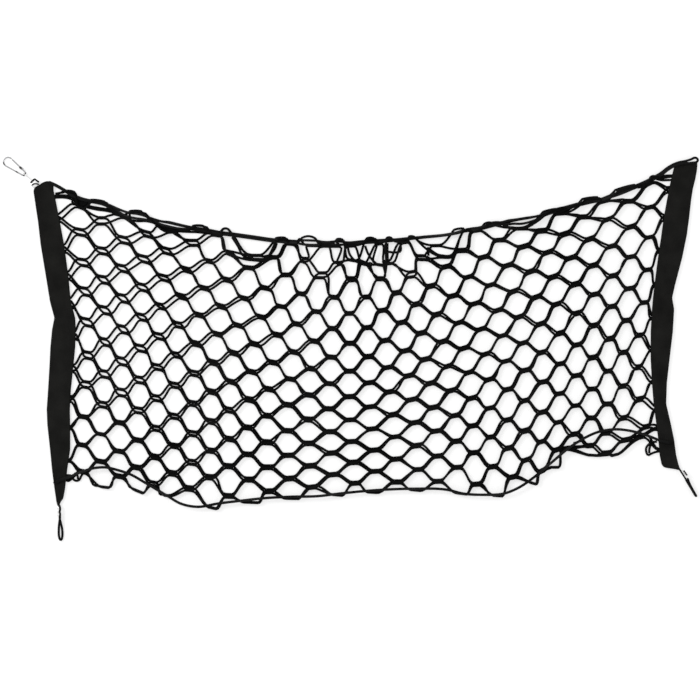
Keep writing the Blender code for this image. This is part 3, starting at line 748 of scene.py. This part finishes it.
# %% Slip of the front layer
SLIP_ROWS = (-5, 0, 5.5, 7.5, 12)
Slip = namedtuple("Slip", "column top high low lower bottom")
SLIPS = rows(Slip,
    (-15, (3, -8), (5, -11), (-2, -8), (0, -1), (0, -3)),
    (-12, (4, -9), (6, -11), (1, -9), (0, -1.5), (0, -4)),
    (-10, (4, -8.5), (4.5, -7.5), (2, -7.5), (1, -5), (0, -4.5)),
    (-8, (3, -4), (1.5, -5), (0.5, -6), (0.4, -5.5), (0, -4.5)),
    (-4, (0, -2.5), (1.5, -4), (0, -4), (0, -4), (-1, -3.5)),
    (0, (2, -3), (0, -3), (-0.5, -3), (-0.4, -3), (0, -2.5)),
    (4, (0, -4), (0.5, -3.5), (0, -3), (0, -3), (0, -2.5)),
    (8, (0.5, -3), (-1, -3), (0, -3), (0, -3.3), (0, -4)),
    (12, (0, -4), (0, -3.8), (-0.7, -2.5), (-0.7, -2.6), (-0.7, -3)),
    (16, (-3, -2.5), (-1, -3), (-2.5, -3.5), (-2.5, -4), (-2.5, -4.5)),
    (17, (0, -7), (0, -2), (-3, -4), (-3, -4.3), (-3, -5)),
)


def straight(knots, values, at):
    """The value at one place on the straight lines between the knots."""
    return float(np.interp(at, knots, values))


def slip(column, row):
    """How far the front layer lies from the back one."""
    return Vector((*spread(SLIPS, SLIP_ROWS, column, row, straight), 0.0))


print("slip in the middle, mm:", [round(x / MM, 1) for x in slip(0, 2)])

# %% [markdown]
# ### The rims of the mesh
# The top row of joints is drawn up to the rope, apart from a few that hang in swags, and the cord
# between them goes over the rope in low loops. Below the bottom cord the last half cells hang free.
# Both rims are uneven and each layer hangs in its own way, so these joints have a place each: the left
# and the right end of the middle line between the joint's two strands.

# %% Top rim of the back layer
Span = namedtuple("Span", "column left_x left_y right_x right_y")
BACK_TOP = {
    -8: rows(Span,              # the loops over the rope
        (-15, -426, 218.5, -414, 217), (-13, -388.5, 205, -369, 202.5), (-11, -330, 188, -313.5, 188),
        (-9, -235.5, 166, -220.5, 166), (-7, -191, 161, -183, 161), (-5, -111, 147.5, -97.5, 148),
        (-3, -78, 143.5, -73, 143.5), (-1, -19.5, 146, -12, 145.5), (1, 25.5, 147.5, 35, 147.5),
        (3, 55.5, 148, 61.5, 148), (5, 88.5, 150, 96, 149.5), (7, 156, 160, 169.5, 162),
        (9, 201.5, 169, 210, 171), (11, 289.5, 187, 310.5, 191.5), (13, 348, 206, 370.5, 209),
        (15, 397.5, 219.5, 426, 227.5), (17, 450.5, 239, 456.5, 240.5)
    ),
    -7: rows(Span,
        (-14, -417.5, 200, -406, 197), (-12, -355.5, 184.5, -343.5, 181.5), (-10, -288, 166.5, -276, 163),
        (-8, -216, 156, -193, 152.5), (-6, -150, 121.5, -132, 121.5), (-4, -99, 139, -84, 138),
        (-2, -70.5, 136.5, -27, 136), (0, -4.5, 115.5, 10.5, 113), (2, 36.5, 138, 48.5, 139.5),
        (4, 74, 142.5, 88.5, 143.5), (6, 120, 136, 136.5, 136.5), (8, 180, 157.5, 195, 160),
        (10, 241.5, 163, 253.5, 161), (12, 304.5, 184, 322.5, 186), (14, 372, 201, 384, 205),
        (16, 442.5, 227, 453, 232)
    ),
    -6: rows(Span,
        (-13, -379, 178, -366, 178), (-9, -243, 144, -228, 144), (-7, -189, 129, -180, 127),
        (-5, -121, 120, -109, 119.5), (-3, -71, 117, -62, 117), (-1, -25, 111, -16, 111),
        (1, 14, 114, 24, 110), (3, 51, 112, 58, 112), (5, 99, 121, 114, 121), (7, 158, 130, 175, 131),
        (9, 215, 145, 229, 146), (11, 282, 160, 295, 161), (13, 343, 180.5, 356, 181),
        (15, 411, 204, 423, 204)
    ),
    -5: rows(Span,
        (-4, -104, 93.5, -90, 93.5), (-2, -49, 95.3, -35, 95.3), (0, -4, 88, 8, 88), (2, 40, 88, 52, 88),
        (4, 87, 96, 98, 98)
    ),
}
print("rim joints of the back layer:", sum(len(spans) for spans in BACK_TOP.values()))

# %% Top rim of the front layer
FRONT_TOP = {
    -8: rows(Span,              # the loops over the rope
        (-15, -424.5, 217.5, -412.5, 215), (-13, -385.5, 204, -364.5, 200), (-11, -327, 187.5, -306, 184),
        (-9, -231, 166, -214.5, 163.5), (-7, -190, 160.8, -182, 160.4), (-5, -106.5, 146, -94.5, 146),
        (-3, -72, 147.6, -52.5, 147.2), (-1, -18, 144.5, -10, 143.5), (1, 27, 146, 38, 146),
        (3, 57, 146, 63, 146), (5, 90, 148, 97.5, 148), (7, 170, 157.5, 177, 161),
        (9, 207, 169.5, 225, 171), (11, 295.5, 186, 319.5, 193.5), (13, 352.5, 205.5, 373.5, 207),
        (15, 402, 219, 432, 227), (17, 452, 237.5, 458, 239)
    ),
    -7: rows(Span,
        (-14, -409.5, 195, -397.5, 190.5), (-12, -340.5, 178.5, -330, 175.5),
        (-10, -274.5, 156, -261, 157), (-8, -205.5, 152, -191, 150), (-6, -147, 115.5, -129, 115),
        (-4, -94.5, 139, -78, 138), (-2, -45, 135.5, -10.5, 135), (0, -6, 135, 8, 136),
        (2, 34.5, 109, 52.5, 106), (4, 77, 140, 88, 141.5), (6, 134, 119, 150, 118.5),
        (8, 183, 157, 196.5, 159), (10, 247.5, 161, 259.5, 162), (12, 307.5, 183, 321, 184),
        (14, 373.5, 200, 385.5, 203), (16, 444, 226, 454.5, 231)
    ),
    -6: rows(Span,
        (-13, -379, 168.5, -366, 168.5), (-9, -241, 136.5, -227, 136.5), (-7, -186, 125, -176, 121),
        (-5, -117, 117.5, -107, 117.5), (-3, -74, 113, -68, 111), (-1, -19, 107, -12, 109),
        (1, 16, 110, 30, 108.5), (3, 54, 108.5, 66, 110), (5, 100, 115.5, 115, 115),
        (7, 160, 127, 176, 127.5), (9, 218, 143, 231, 143.5), (11, 282, 156, 295, 157),
        (13, 345, 177.5, 358, 178), (15, 412, 201, 424, 201.5)
    ),
    -5: rows(Span,
        (-4, -103, 91, -88, 91), (-2, -54, 88, -38, 88), (0, -4, 83, 9, 84), (2, 38, 85, 52, 85),
        (4, 84, 88, 98, 90)
    ),
}
RIMS = {"net_back": BACK_TOP, "net_front": FRONT_TOP}
SPAN_AT = {(layer, row, span.column): span
           for layer, rim in RIMS.items() for row, spans in rim.items() for span in spans}
print("joints with a place of their own:", len(SPAN_AT))

# %% Hanging loops
Hang = namedtuple("Hang", "column left_x left_y right_x right_y parted")
# The loops of row 12; the front layer's left leg ends as far from the back one's as `parted` says.
HANGING_LOOPS = rows(Hang,
    (-15, -428, -214, -424, -217, 0), (-13, -382.5, -225, -362, -227.5, 11),
    (-11, -328, -228.5, -311, -235.5, 6), (-9, -284, -238.5, -272, -239.5, 6),
    (-7, -212, -256.5, -201, -259, 0), (-5, -162, -249, -138, -250, 3), (-3, -98, -243.5, -77, -244, 3),
    (-1, -26, -238, -12, -239.3, 0), (1, 24, -234, 39, -235, 3), (3, 88, -230.3, 105, -232, 3),
    (5, 157, -235, 174, -237.3, 2), (7, 213, -239, 228, -240, 2), (9, 271, -220, 278, -222, 0),
    (11, 301, -197, 312, -197, 0), (13, 357, -178.5, 370, -179.3, 0), (15, 393, -179.3, 402, -177, 0),
    (17, 462, -170, 466, -171, 0)
)
HANG_BY = {hang.column: hang for hang in HANGING_LOOPS}
print("hanging loops:", len(HANG_BY))

# %% [markdown]
# ### One strand at a time
# A strand's route has a few points on each joint and a bending leg between two joints. At a joint its
# two strands lie side by side, so one is a little higher than the middle line and the other lower. No
# two joints of a real net are the same, so each gets a small shift and its own length.

# %% Strands of the mesh
STRAND_RADIUS = 1.8 * MM
STRAND_APART = 0.9 * MM        # from a joint's middle line to each of its strands
JOINT_HALF = 0.15              # half of a joint, in columns
JOINT_CHANGE = 0.025           # how much that changes from joint to joint
JOINT_SHIFT = 0.5 * MM
STRAND_LIFT = 0.1 * MM         # how far a joint's two strands differ in height from their middle
LAYER_HEIGHT = {"net_back": 1.9 * MM, "net_front": 4.6 * MM}
LAYER_SIDE = {"net_back": -0.5, "net_front": 0.5}
print("zigzag cords in a layer:", LAST_ROW - FIRST_ROW)

# %% Joints of the mesh
LOOP_HEIGHT = {"net_back": 1.8 * MM, "net_front": 7.8 * MM}
LOOP_FOOT = 2.0 * MM           # how far a rope loop's sides slant out and down before its legs begin
FOOT_DROP = 1.2 * LOOP_FOOT
LOOP_CROWN = 0.7 * MM          # how high a rope loop bows above its ends
BOWED_LOOPS = {-7: 1.2 * MM, -3: 2.8 * MM}   # two that stand up higher
ARCH_STEPS = 5
RIM_JOINT = (0.13, 0.5, 0.87)  # where a rim joint has its points, as shares of its span
HANG_SLIP = 0.3                # the share of the slip that a hanging loop keeps


def luck_of_joint(layer, column, row):
    """The small shift and length of one joint, the same for both of its strands."""
    luck = random.Random(1000 * column + 10 * row + len(layer))
    shift = Vector((luck.uniform(-1, 1), luck.uniform(-1, 1), 0)) * JOINT_SHIFT
    return shift, JOINT_HALF + luck.uniform(-1, 1) * JOINT_CHANGE


def rope_loop(layer, column, left, right):
    """A low arch over the rope, with a foot at each end."""
    top = Vector((0, 0, LOOP_HEIGHT[layer]))
    crown = Vector((0, BOWED_LOOPS.get(column, LOOP_CROWN), 0))
    shares = [step / ARCH_STEPS for step in range(ARCH_STEPS + 1)]
    arch = [left.lerp(right, t) + crown * (4 * t * (1 - t)) + top for t in shares]
    near_foot, far_foot = Vector((LOOP_FOOT, FOOT_DROP, 0)), Vector((LOOP_FOOT, -FOOT_DROP, 0))
    return [left + top - near_foot] + arch + [right + top + far_foot]


def joint_points(layer, column, row, side):
    """Where one strand runs along one joint: side is 1 for the upper strand and -1 for the lower."""
    at_band = column in (FIRST_COLUMN, LAST_COLUMN)
    shift, half = luck_of_joint(layer, column, row)
    slipped = slip(column, max(row, SLIP_ROWS[0])) * LAYER_SIDE[layer]
    span = HANG_BY[column] if row == LAST_ROW else SPAN_AT.get((layer, row, column))
    if span:
        left = Vector((span.left_x, span.left_y, 0)) * MM
        right = Vector((span.right_x, span.right_y, 0)) * MM
    if row == FIRST_ROW:
        return rope_loop(layer, column, left, right)
    if row == LAST_ROW:
        if layer == "net_front":
            left += (right - left).normalized() * span.parted * MM
        spots = [spot + slipped * HANG_SLIP for spot in (left, left.lerp(right, 0.5), right)]
    elif span:
        spots = [left.lerp(right, t) for t in RIM_JOINT]
    else:
        place_of = STRAY_BY.get((column, row), Vector((0, 0, 0))) + slipped + shift
        if at_band:
            spots = [lay(column, row) + place_of + Vector((t * SEAM_HALF, 0, 0)) for t in (-1, 0, 1)]
        else:
            spots = [lay(column + t, row) + place_of for t in (-half, 0, half)]
    height = SEAM_HEIGHT if at_band else LAYER_HEIGHT[layer] + side * STRAND_LIFT
    return [spot + Vector((0, side * STRAND_APART, height)) for spot in spots]


print("a joint in the middle, mm long:", round(length_of(joint_points("net_back", 0, 1, 1)) / MM, 1))

# %% Legs and whole strands
LEG_STEPS = 6
LEG_BEND = 0.25                # how strongly a leg keeps the joint's direction, of its length
KINK = 1.1 * MM
KINK_TURNS = (0.8, 2.1)        # a leg's kink is between so many half waves
UNDER_BAND = 5.0 * MM          # how far the mesh's ends go into the side bands


def leg_points(near, far, near_way, far_way, luck):
    """Points on the leg between two joints, which bends from one joint's direction to the other's."""
    reach = (far - near).length * LEG_BEND
    first, second = near + near_way * reach, far - far_way * reach
    across = Vector((-(far - near).y, (far - near).x, 0)).normalized()
    kink, turns = luck.uniform(-KINK, KINK), luck.uniform(*KINK_TURNS)
    points = []
    for step in range(1, LEG_STEPS):
        t = step / LEG_STEPS
        spot = near * (1 - t) ** 3 + first * 3 * t * (1 - t) ** 2 + second * 3 * t * t * (1 - t)
        points.append(spot + far * t ** 3 + across * kink * math.sin(math.pi * t * turns))
    return points


def strand_route(layer, family, k, luck):
    """One zigzag cord of the mesh, from band to band, along the upper or the lower sides of cells."""
    route = []
    last = None
    for column in range(FIRST_COLUMN, LAST_COLUMN + 1):
        odd = column % 2 == 1
        if family == "upper":
            row, side = (2 * k, -1) if odd else (2 * k + 1, 1)
        else:
            row, side = (2 * k + 2, 1) if odd else (2 * k + 1, -1)
        joint = joint_points(layer, column, row, side)
        if last is not None:
            near_way = (last[-1] - last[-2]).normalized()
            far_way = (joint[1] - joint[0]).normalized()
            route += leg_points(last[-1], joint[0], near_way, far_way, luck)
        else:
            joint = [joint[0] - Vector((UNDER_BAND, 0, 0))] + joint[1:]
        if column == LAST_COLUMN:
            joint = joint[:-1] + [joint[-1] + Vector((UNDER_BAND, 0, 0))]
        route += joint
        last = joint
    return route


# %% [markdown]
# ### Gathered cord
# Under the rope, most of all towards its ends and in its middle, and beside the bands at the bottom
# corners, the mesh's own cord is drawn together and lies in slack lines. A simulation would bunch it in
# a way of its own, so each bunch is shown as the few cords that can be told apart, each a smooth line
# through listed places, in one piece with the back layer.

# %% Gathered cord
SLACK_HEIGHT, SLACK_STEP = 1.8, 3.0     # mm
SLACK = {
    "left_rise": ((-442, 214), (-434, 215.5), (-426, 217), (-420, 214), (-411, 208)),
    "left_top": ((-444, 211), (-432, 211.5), (-423, 211), (-415, 208.5), (-408, 203), (-399, 199)),
    "left_low": ((-444, 208), (-432, 208.5), (-423, 207.5), (-414, 204), (-406, 198), (-399, 195)),
    "left_bunch": ((-414, 206), (-406, 203), (-399, 201), (-393, 199.5)),
    "left_strip": ((-405, 199.5), (-396, 197), (-387, 194.5), (-375, 192.5), (-363, 190.5), (-351, 187),
                   (-340, 182)),
    "left_strip_low": ((-400, 195), (-390, 192.5), (-378, 190), (-366, 188.5), (-355, 186), (-346, 183)),
    "left_knot": ((-365, 194), (-356, 190.5), (-347, 185), (-337, 180), (-328, 176)),
    "left_under": ((-346, 183), (-337, 178), (-328, 174.5), (-318, 173), (-306, 173), (-295, 170.5),
                   (-281, 163)),
    "left_end": ((-303, 174), (-292, 169.5), (-282, 165), (-270, 161), (-258, 158), (-246, 157),
                 (-231, 156.5), (-214, 155)),
    "left_end_low": ((-292, 168), (-282, 161), (-273, 157.5), (-261, 157), (-250, 159), (-240, 160)),
    "right_strip": ((229, 167), (238, 164), (249, 163), (261, 164), (271, 169), (279, 175), (286, 179)),
    "right_strip_low": ((235, 165), (244, 161), (255, 160.5), (265, 163.5), (274, 168)),
    "right_corner": ((459, 238), (468, 237.5), (477, 239), (486, 240)),
    "right_corner_low": ((457, 237), (466, 234.5), (477, 234.5), (486, 235)),
    "low_loop": ((465, -172), (457, -173.5), (451, -176), (447, -178), (444, -173), (444, -167),
                 (447.5, -162), (451.5, -159)),
    "low_loop_inner": ((462, -171), (457, -165), (452, -161), (449, -167), (448.5, -175)),
    "low_kink": ((342, -145), (348, -149), (348.5, -155), (342, -158), (335, -160)),
    "low_curl": ((460, -157.5), (454, -158), (450, -155)),
    "left_over": ((-300, 177), (-285, 173), (-270, 170), (-255, 166.5), (-240, 163.5)),
    "centre_hang": ((-4, 136), (0, 122), (7, 114), (21, 107.5), (33, 106)),
    "centre_right": ((22.5, 136), (27, 124), (31.5, 117), (42, 106.5)),
    "centre_post": ((56, 140), (56, 128), (56.5, 114)),
    "centre_link": ((57.5, 127), (66, 126), (75, 127.5), (75, 142)),
    "centre_tip": ((48, 113), (52, 110.5), (55, 108)),
    "swag_post": ((117, 134), (117.5, 121)),
    "swag_side": ((-177, 149), (-168, 135), (-161, 122), (-152, 117), (-140, 115)),
    "swag_low": ((118, 132), (126, 126), (131, 123), (139.5, 121.3), (150, 121.3), (155, 124.5),
                 (159, 129), (161, 135), (164, 146), (168, 155)),
    "swag_side_low": ((-161, 118.5), (-150, 115), (-138, 113.5), (-130.5, 113), (-123, 115), (-114, 118),
                      (-109.5, 120.5)),
    "swag_leg": ((-110, 140), (-112, 133), (-116, 127), (-120, 122)),
    "right_over": ((229, 169.5), (243, 173), (255, 175.5), (270, 178), (282, 181)),
    "right_corner_top": ((460, 240), (471, 241), (484, 241.5)),
    "left_curl": ((-429, -217), (-423, -214), (-417, -211), (-412, -205.5), (-405, -204)),
    "left_curl_low": ((-426, -208), (-418, -209), (-415, -214), (-411, -216.5), (-406, -215),
                      (-403, -209), (-400, -205)),
    "left_curl_inner": ((-414, -205.5), (-409, -208), (-408, -214)),
}


def gathered_route(spots):
    """A slack cord's route through flat places, all at one height."""
    return smooth_path(places([(x, y, SLACK_HEIGHT) for x, y in spots]), SLACK_STEP * MM)


def mesh_layer(layer, seed, slack=()):
    """All the strands of one layer, and its slack cords, as one piece."""
    luck = random.Random(seed)
    routes = [strand_route(layer, family, k, luck)
              for family in ("upper", "lower") for k in range(FIRST_ROW // 2, LAST_ROW // 2)]
    routes += [gathered_route(spots) for spots in slack]
    show(tube_mesh(layer, routes, STRAND_RADIUS), layer, MESH_CORD, stands_for=("net",))


mesh_layer("net_back", seed=11, slack=SLACK.values())
mesh_layer("net_front", seed=12)

# %% [markdown]
# ## The top rope
# One elastic cord is laid double along the top edge, and its bend lies over the right corner. The two
# strands touch for most of the way, part where the mesh pushes between them, and cross over in places.
# Two routes either side of one middle line would look like a machined pair, so how far apart they lie is
# set at each place, and they take turns to be on top.

# %% Top rope
ROPE_RADIUS = 1.85 * MM
ROPE_HEIGHT = 4.6 * MM         # the back layer of the mesh runs under it
ROPE_STEP, CORNER_STEP = 4.0 * MM, 2.0 * MM
STACKED = 0.8                  # how much of the room over each other touching strands take
CROSSING = 0.21                # how fast they take turns to be on top, in radians a step
CROSSING_SPEED = 3             # and how soon the one on top is fully there
Lie = namedtuple("Lie", "x y apart")
ROPE_LAY = rows(Lie,
    (-451, 231, 1.2), (-442, 227, 1.4), (-428, 219, 1.4), (-420, 214, 1.8), (-405, 207, 2),
    (-390, 203, 2.1), (-381, 201.5, 2.4), (-370, 199, 2.7), (-360, 195, 3), (-349, 190, 3.1),
    (-339, 185, 5), (-330, 182, 6), (-321, 180.5, 7), (-312, 179, 6), (-301, 176, 4), (-292, 173.5, 3.2),
    (-282, 170, 4.8), (-273, 168.5, 6.3), (-262, 166, 6.4), (-252, 164, 5.4), (-240, 162.5, 3.3),
    (-216, 159, 3.1), (-195, 155, 3.2), (-175, 152.5, 3.2), (-150, 149, 3.2), (-114, 144, 3.1),
    (-90, 142, 3.2), (-79, 141.5, 3.4), (-70, 141, 6.2), (-60, 140.6, 6.6), (-50, 140.4, 6.0),
    (-42, 140.3, 3.0), (-32, 140, 2.8), (-24, 140, 4.6), (-15, 139.8, 5.0), (-6, 139.5, 3.0),
    (21, 141.5, 3.1), (45, 143, 3), (67, 144.5, 1.8), (87, 146.5, 1.5), (112, 149, 1.2), (142, 152, 1.2),
    (159, 155, 1.4), (168, 157.5, 1.8), (180, 160, 3), (192, 161.5, 3), (210, 166, 3), (220, 168.5, 3),
    (229, 170, 3.1), (237, 171, 5.7), (246, 172, 6), (255, 172.5, 7.5), (264, 174, 7.5), (273, 176, 6),
    (281, 178, 4.5), (292, 183, 3), (309, 188.5, 3), (328, 194, 3), (360, 202, 3), (378, 205.5, 2.4),
    (387, 209, 2.7), (399, 213, 3.2), (423, 222.5, 3), (447, 233, 3), (468, 245, 3), (477, 252, 3),
    (486, 257, 3), (495, 260, 3), (502, 261, 3.3), (508, 262, 4.6)
)
ROPE_ON_BAND = 6.2 * MM
BAND_FROM, BAND_TO = 482 * MM, 500 * MM      # the rope climbs on to the right band between these
ROPE_CORNER = rows(Spot,
    (514.5, 260.4, 6.2), (518.6, 261.0, 6.2), (520.7, 263.2, 6.2), (520.3, 265.8, 6.2),
    (518.0, 267.6, 6.2), (514.8, 267.4, 6.2), (511.5, 265.6, 6.2)
)


def rope_height(x):
    """The rope lies on the mesh and climbs on to the right band at its end."""
    return float(np.interp(x, (BAND_FROM, BAND_TO), (ROPE_HEIGHT, ROPE_ON_BAND)))


def top_rope():
    """Both strands and the bend, as one cord."""
    measures = smooth_path(places(ROPE_LAY), ROPE_STEP)
    lower, upper = [], []
    for i, spot in enumerate(measures):
        ahead = measures[min(i + 1, len(measures) - 1)] - measures[max(i - 1, 0)]
        up = Vector((-ahead.y, ahead.x, 0)).normalized()
        apart = spot.z / 2
        stacked = math.sqrt(max(0.0, ROPE_RADIUS ** 2 - apart ** 2)) * STACKED
        twist = math.sin(i * CROSSING)
        lift = stacked * (1 if twist > 0 else -1) * min(1.0, abs(twist) * CROSSING_SPEED)
        place_on = Vector((spot.x, spot.y, rope_height(spot.x)))
        lower.append(place_on - up * apart + Vector((0, 0, lift)))
        upper.append(place_on + up * apart - Vector((0, 0, lift)))
    route = lower + smooth_path(places(ROPE_CORNER), CORNER_STEP) + upper[::-1]
    print("rope length in mm:", round(length_of(route) / MM))
    show(tube_mesh("top_rope", [route], ROPE_RADIUS, ROPE_SIDES), "top_rope_cord", ROPE_CORD,
         stands_for=("top_rope",))


top_rope()

# %% [markdown]
# ## The bottom cord
# A single elastic cord lies over the lowest joints of the mesh, and each end is stitched on a band.
# It follows its solid's route, with the waves that the mesh pulls into it. The curve of a hanging chain
# would be too even, so it goes through listed places too.

# %% Bottom cord
BOTTOM_RADIUS, BOTTOM_STEP = 2.05 * MM, 3.5 * MM
ON_NET, ON_BAND = 8.0, 6.2
ENDS_ON_BAND = 2               # this many places at each end lie on a band
BOTTOM_CORD = (
    (-444, -220), (-438, -217), (-429, -213), (-420, -210), (-405, -204), (-383, -197), (-366, -196),
    (-348, -200), (-330, -206), (-305, -220), (-273, -239), (-254, -250), (-230, -255), (-197, -250),
    (-164, -246), (-128, -242), (-90, -240), (-48, -239), (-14, -235), (27, -231), (94, -228),
    (148, -230), (168, -235), (199, -237), (231, -235), (253, -226), (271, -214), (300, -190),
    (336, -161), (375, -142), (397, -139), (418, -141), (441, -147), (457, -153), (464, -156),
    (473, -158), (480, -160),
)


def bottom_cord():
    """The cord at its own height over the mesh and over the bands."""
    inner = range(ENDS_ON_BAND, len(BOTTOM_CORD) - ENDS_ON_BAND)
    spots = [Spot(x, y, ON_NET if i in inner else ON_BAND) for i, (x, y) in enumerate(BOTTOM_CORD)]
    route = smooth_path(places(spots), BOTTOM_STEP)
    show(tube_mesh("bottom_cord", [route], BOTTOM_RADIUS, ROPE_SIDES), "bottom_cord_elastic", ROPE_CORD,
         stands_for=("bottom_cord",))
    print("bottom cord length in mm:", round(length_of(route) / MM))


bottom_cord()

# %% [markdown]
# ## Crimps
# The crimps are soft bright metal, pressed round the cords. They keep their solids' outlines, with fine
# bevels and, on the two sleeves, the dents of the pliers. A bevelled block with rings of edges, drawn in
# where the pliers closed, is simpler than a tube squeezed by a lattice, and it stays closed.

# %% Crimp sleeves
CRIMP_HEIGHT = 6.0 * MM
SLEEVE_WIDTH = 5.2 * MM
SLEEVE_LENGTH = 15.2 * MM
LEFT_SLEEVE_AT = Vector((-436.4, -262.05, 0)) * MM
RIGHT_SLEEVE_AT = Vector((500.35, -207.15, 0)) * MM
RIGHT_SLEEVE_TURN = math.radians(33)
SLEEVE_ROUNDING, PLATE_ROUNDING = 1.7 * MM, 0.7 * MM
SLEEVE_CUTS = 14               # rings along a sleeve, for the dents to bend
Pinch = namedtuple("Pinch", "depth at width")
PINCHES = rows(Pinch, (0.16, 0.16, 0.07), (0.12, -0.2, 0.08))      # as shares of the sleeve's size
PINCH_FROM_ABOVE = 0.5         # a pinch flattens a sleeve half as much as it narrows it


def round_edges(bm, width):
    """A fine bevel on every edge."""
    bmesh.ops.bevel(bm, geom=bm.edges[:], offset=width, segments=3, profile=0.5, affect="EDGES", material=-1)


def crimp_sleeve(name, at, turn):
    """A short pressed tube that lies on the floor, pinched by the pliers in two places."""
    bm = bmesh.new()
    bmesh.ops.create_cube(bm, size=1.0)
    bmesh.ops.scale(bm, vec=(SLEEVE_WIDTH, SLEEVE_LENGTH, CRIMP_HEIGHT), verts=bm.verts)
    bmesh.ops.translate(bm, vec=(0, 0, CRIMP_HEIGHT / 2), verts=bm.verts)
    round_edges(bm, SLEEVE_ROUNDING)
    long_edges = [edge for edge in bm.edges
                  if abs(edge.verts[0].co.y - edge.verts[1].co.y) > SLEEVE_LENGTH / 2]
    bmesh.ops.subdivide_edges(bm, edges=long_edges, cuts=SLEEVE_CUTS, use_grid_fill=True)
    for vert in bm.verts:
        along = vert.co.y / SLEEVE_LENGTH
        pinch = sum(one.depth * math.exp(-((along - one.at) / one.width) ** 2) for one in PINCHES)
        vert.co.x *= 1 - pinch
        vert.co.z = CRIMP_HEIGHT / 2 + (vert.co.z - CRIMP_HEIGHT / 2) * (1 - PINCH_FROM_ABOVE * pinch)
    bmesh.ops.rotate(bm, cent=(0, 0, 0), matrix=Matrix.Rotation(turn, 3, "Z"), verts=bm.verts)
    bmesh.ops.translate(bm, vec=at, verts=bm.verts)
    bmesh.ops.recalc_face_normals(bm, faces=bm.faces)
    show(bm, name + "_pressed", CRIMP_STEEL, stands_for=(name,))


crimp_sleeve("bottom_left_crimp", LEFT_SLEEVE_AT, turn=0.0)
crimp_sleeve("bottom_right_crimp", RIGHT_SLEEVE_AT, RIGHT_SLEEVE_TURN)

# %% Top left crimp
TOP_LEFT_CRIMP = ((-480.0, 230.5), (-473.2, 236.6), (-466.6, 231.6), (-465.5, 228.25),
                  (-473.5, 221.7), (-478.5, 226.0))


def top_left_crimp():
    """A bent metal plate, pressed flat over the ends of the rope."""
    bm = bmesh.new()
    bm.faces.new([bm.verts.new((x * MM, y * MM, 0)) for x, y in TOP_LEFT_CRIMP])
    raised = bmesh.ops.extrude_face_region(bm, geom=bm.faces[:])
    top = [item for item in raised["geom"] if isinstance(item, bmesh.types.BMVert)]
    bmesh.ops.translate(bm, vec=(0, 0, CRIMP_HEIGHT), verts=top)
    bmesh.ops.recalc_face_normals(bm, faces=bm.faces)
    round_edges(bm, PLATE_ROUNDING)
    show(bm, "top_left_crimp_pressed", CRIMP_STEEL, stands_for=("top_left_crimp",))


top_left_crimp()

# %% Cord and painted shade lines on the crimps
CRIMP_CORD_STEP = 1.0 * MM
CrimpDarkLine = namedtuple("CrimpDarkLine", "radius spots")
# The two on the top-left plate are painted shade along its folds; the rest are partly cord and partly painted
# shade along the sleeves' edges
CRIMP_CORDS_AND_SHADE_LINES = rows(CrimpDarkLine,
    (1.2, ((-478.5, 230.2, 6.3), (-475.4, 233.4, 6.9), (-472.5, 235.7, 6.4), (-469.3, 233.6, 6.5),
           (-466.0, 231.0, 6.3))),
    (1.0, ((-476.9, 226.4, 6.2), (-474.1, 228.3, 6.5), (-471.3, 228.8, 6.5), (-468.9, 228.4, 6.5),
           (-466.4, 228.0, 6.2))),
    (1.7, ((-436.4, -252.0, 4.4), (-434.7, -255.6, 5.8), (-434.3, -259.0, 6.4), (-435.0, -262.5, 6.2),
           (-434.3, -266.0, 6.4), (-434.8, -270.6, 5.8))),
    (1.3, ((491.0, -197.0, 4.4), (494.0, -200.0, 5.0), (496.4, -203.6, 5.9), (499.3, -208.2, 6.0),
           (502.8, -213.6, 5.6))),
    (1.0, ((499.7, -200.6, 6.0), (502.4, -204.4, 6.2), (505.0, -208.0, 6.0))),
)


def crimp_cords_and_shade_lines():
    """Dark tubes at the crimps: partly the black cord that shows at their lips and seams, partly painted
    shade along their folds and edges.
    """
    bm = bmesh.new()
    for cord in CRIMP_CORDS_AND_SHADE_LINES:
        route = smooth_path(places(cord.spots), CRIMP_CORD_STEP)
        bm.from_mesh(tube_mesh("crimp_cord", [route], cord.radius * MM, ROPE_SIDES))
    show(bm, "crimp_cords_and_shade_lines", LOOP_CORD)


crimp_cords_and_shade_lines()

# %% [markdown]
# ## The carabiner, its gate and its eye
# The hook is a pear of 2 mm wire with a straight gate on one side, which turns on a pin in the wire's
# forked end. The eye is a bent wire that holds its narrow end. New tubes along the same lines would add
# nothing to wire this thin, so the three solids show themselves and only get their finish.

# %% Metal that keeps its solid
KEPT_METAL = {"carabiner_body": BRIGHT_STEEL, "carabiner_gate": BRIGHT_STEEL, "hook_eye": EYE_STEEL}
for name, steel in KEPT_METAL.items():
    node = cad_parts[name]
    node.data.materials.clear()
    node.data.materials.append(steel)
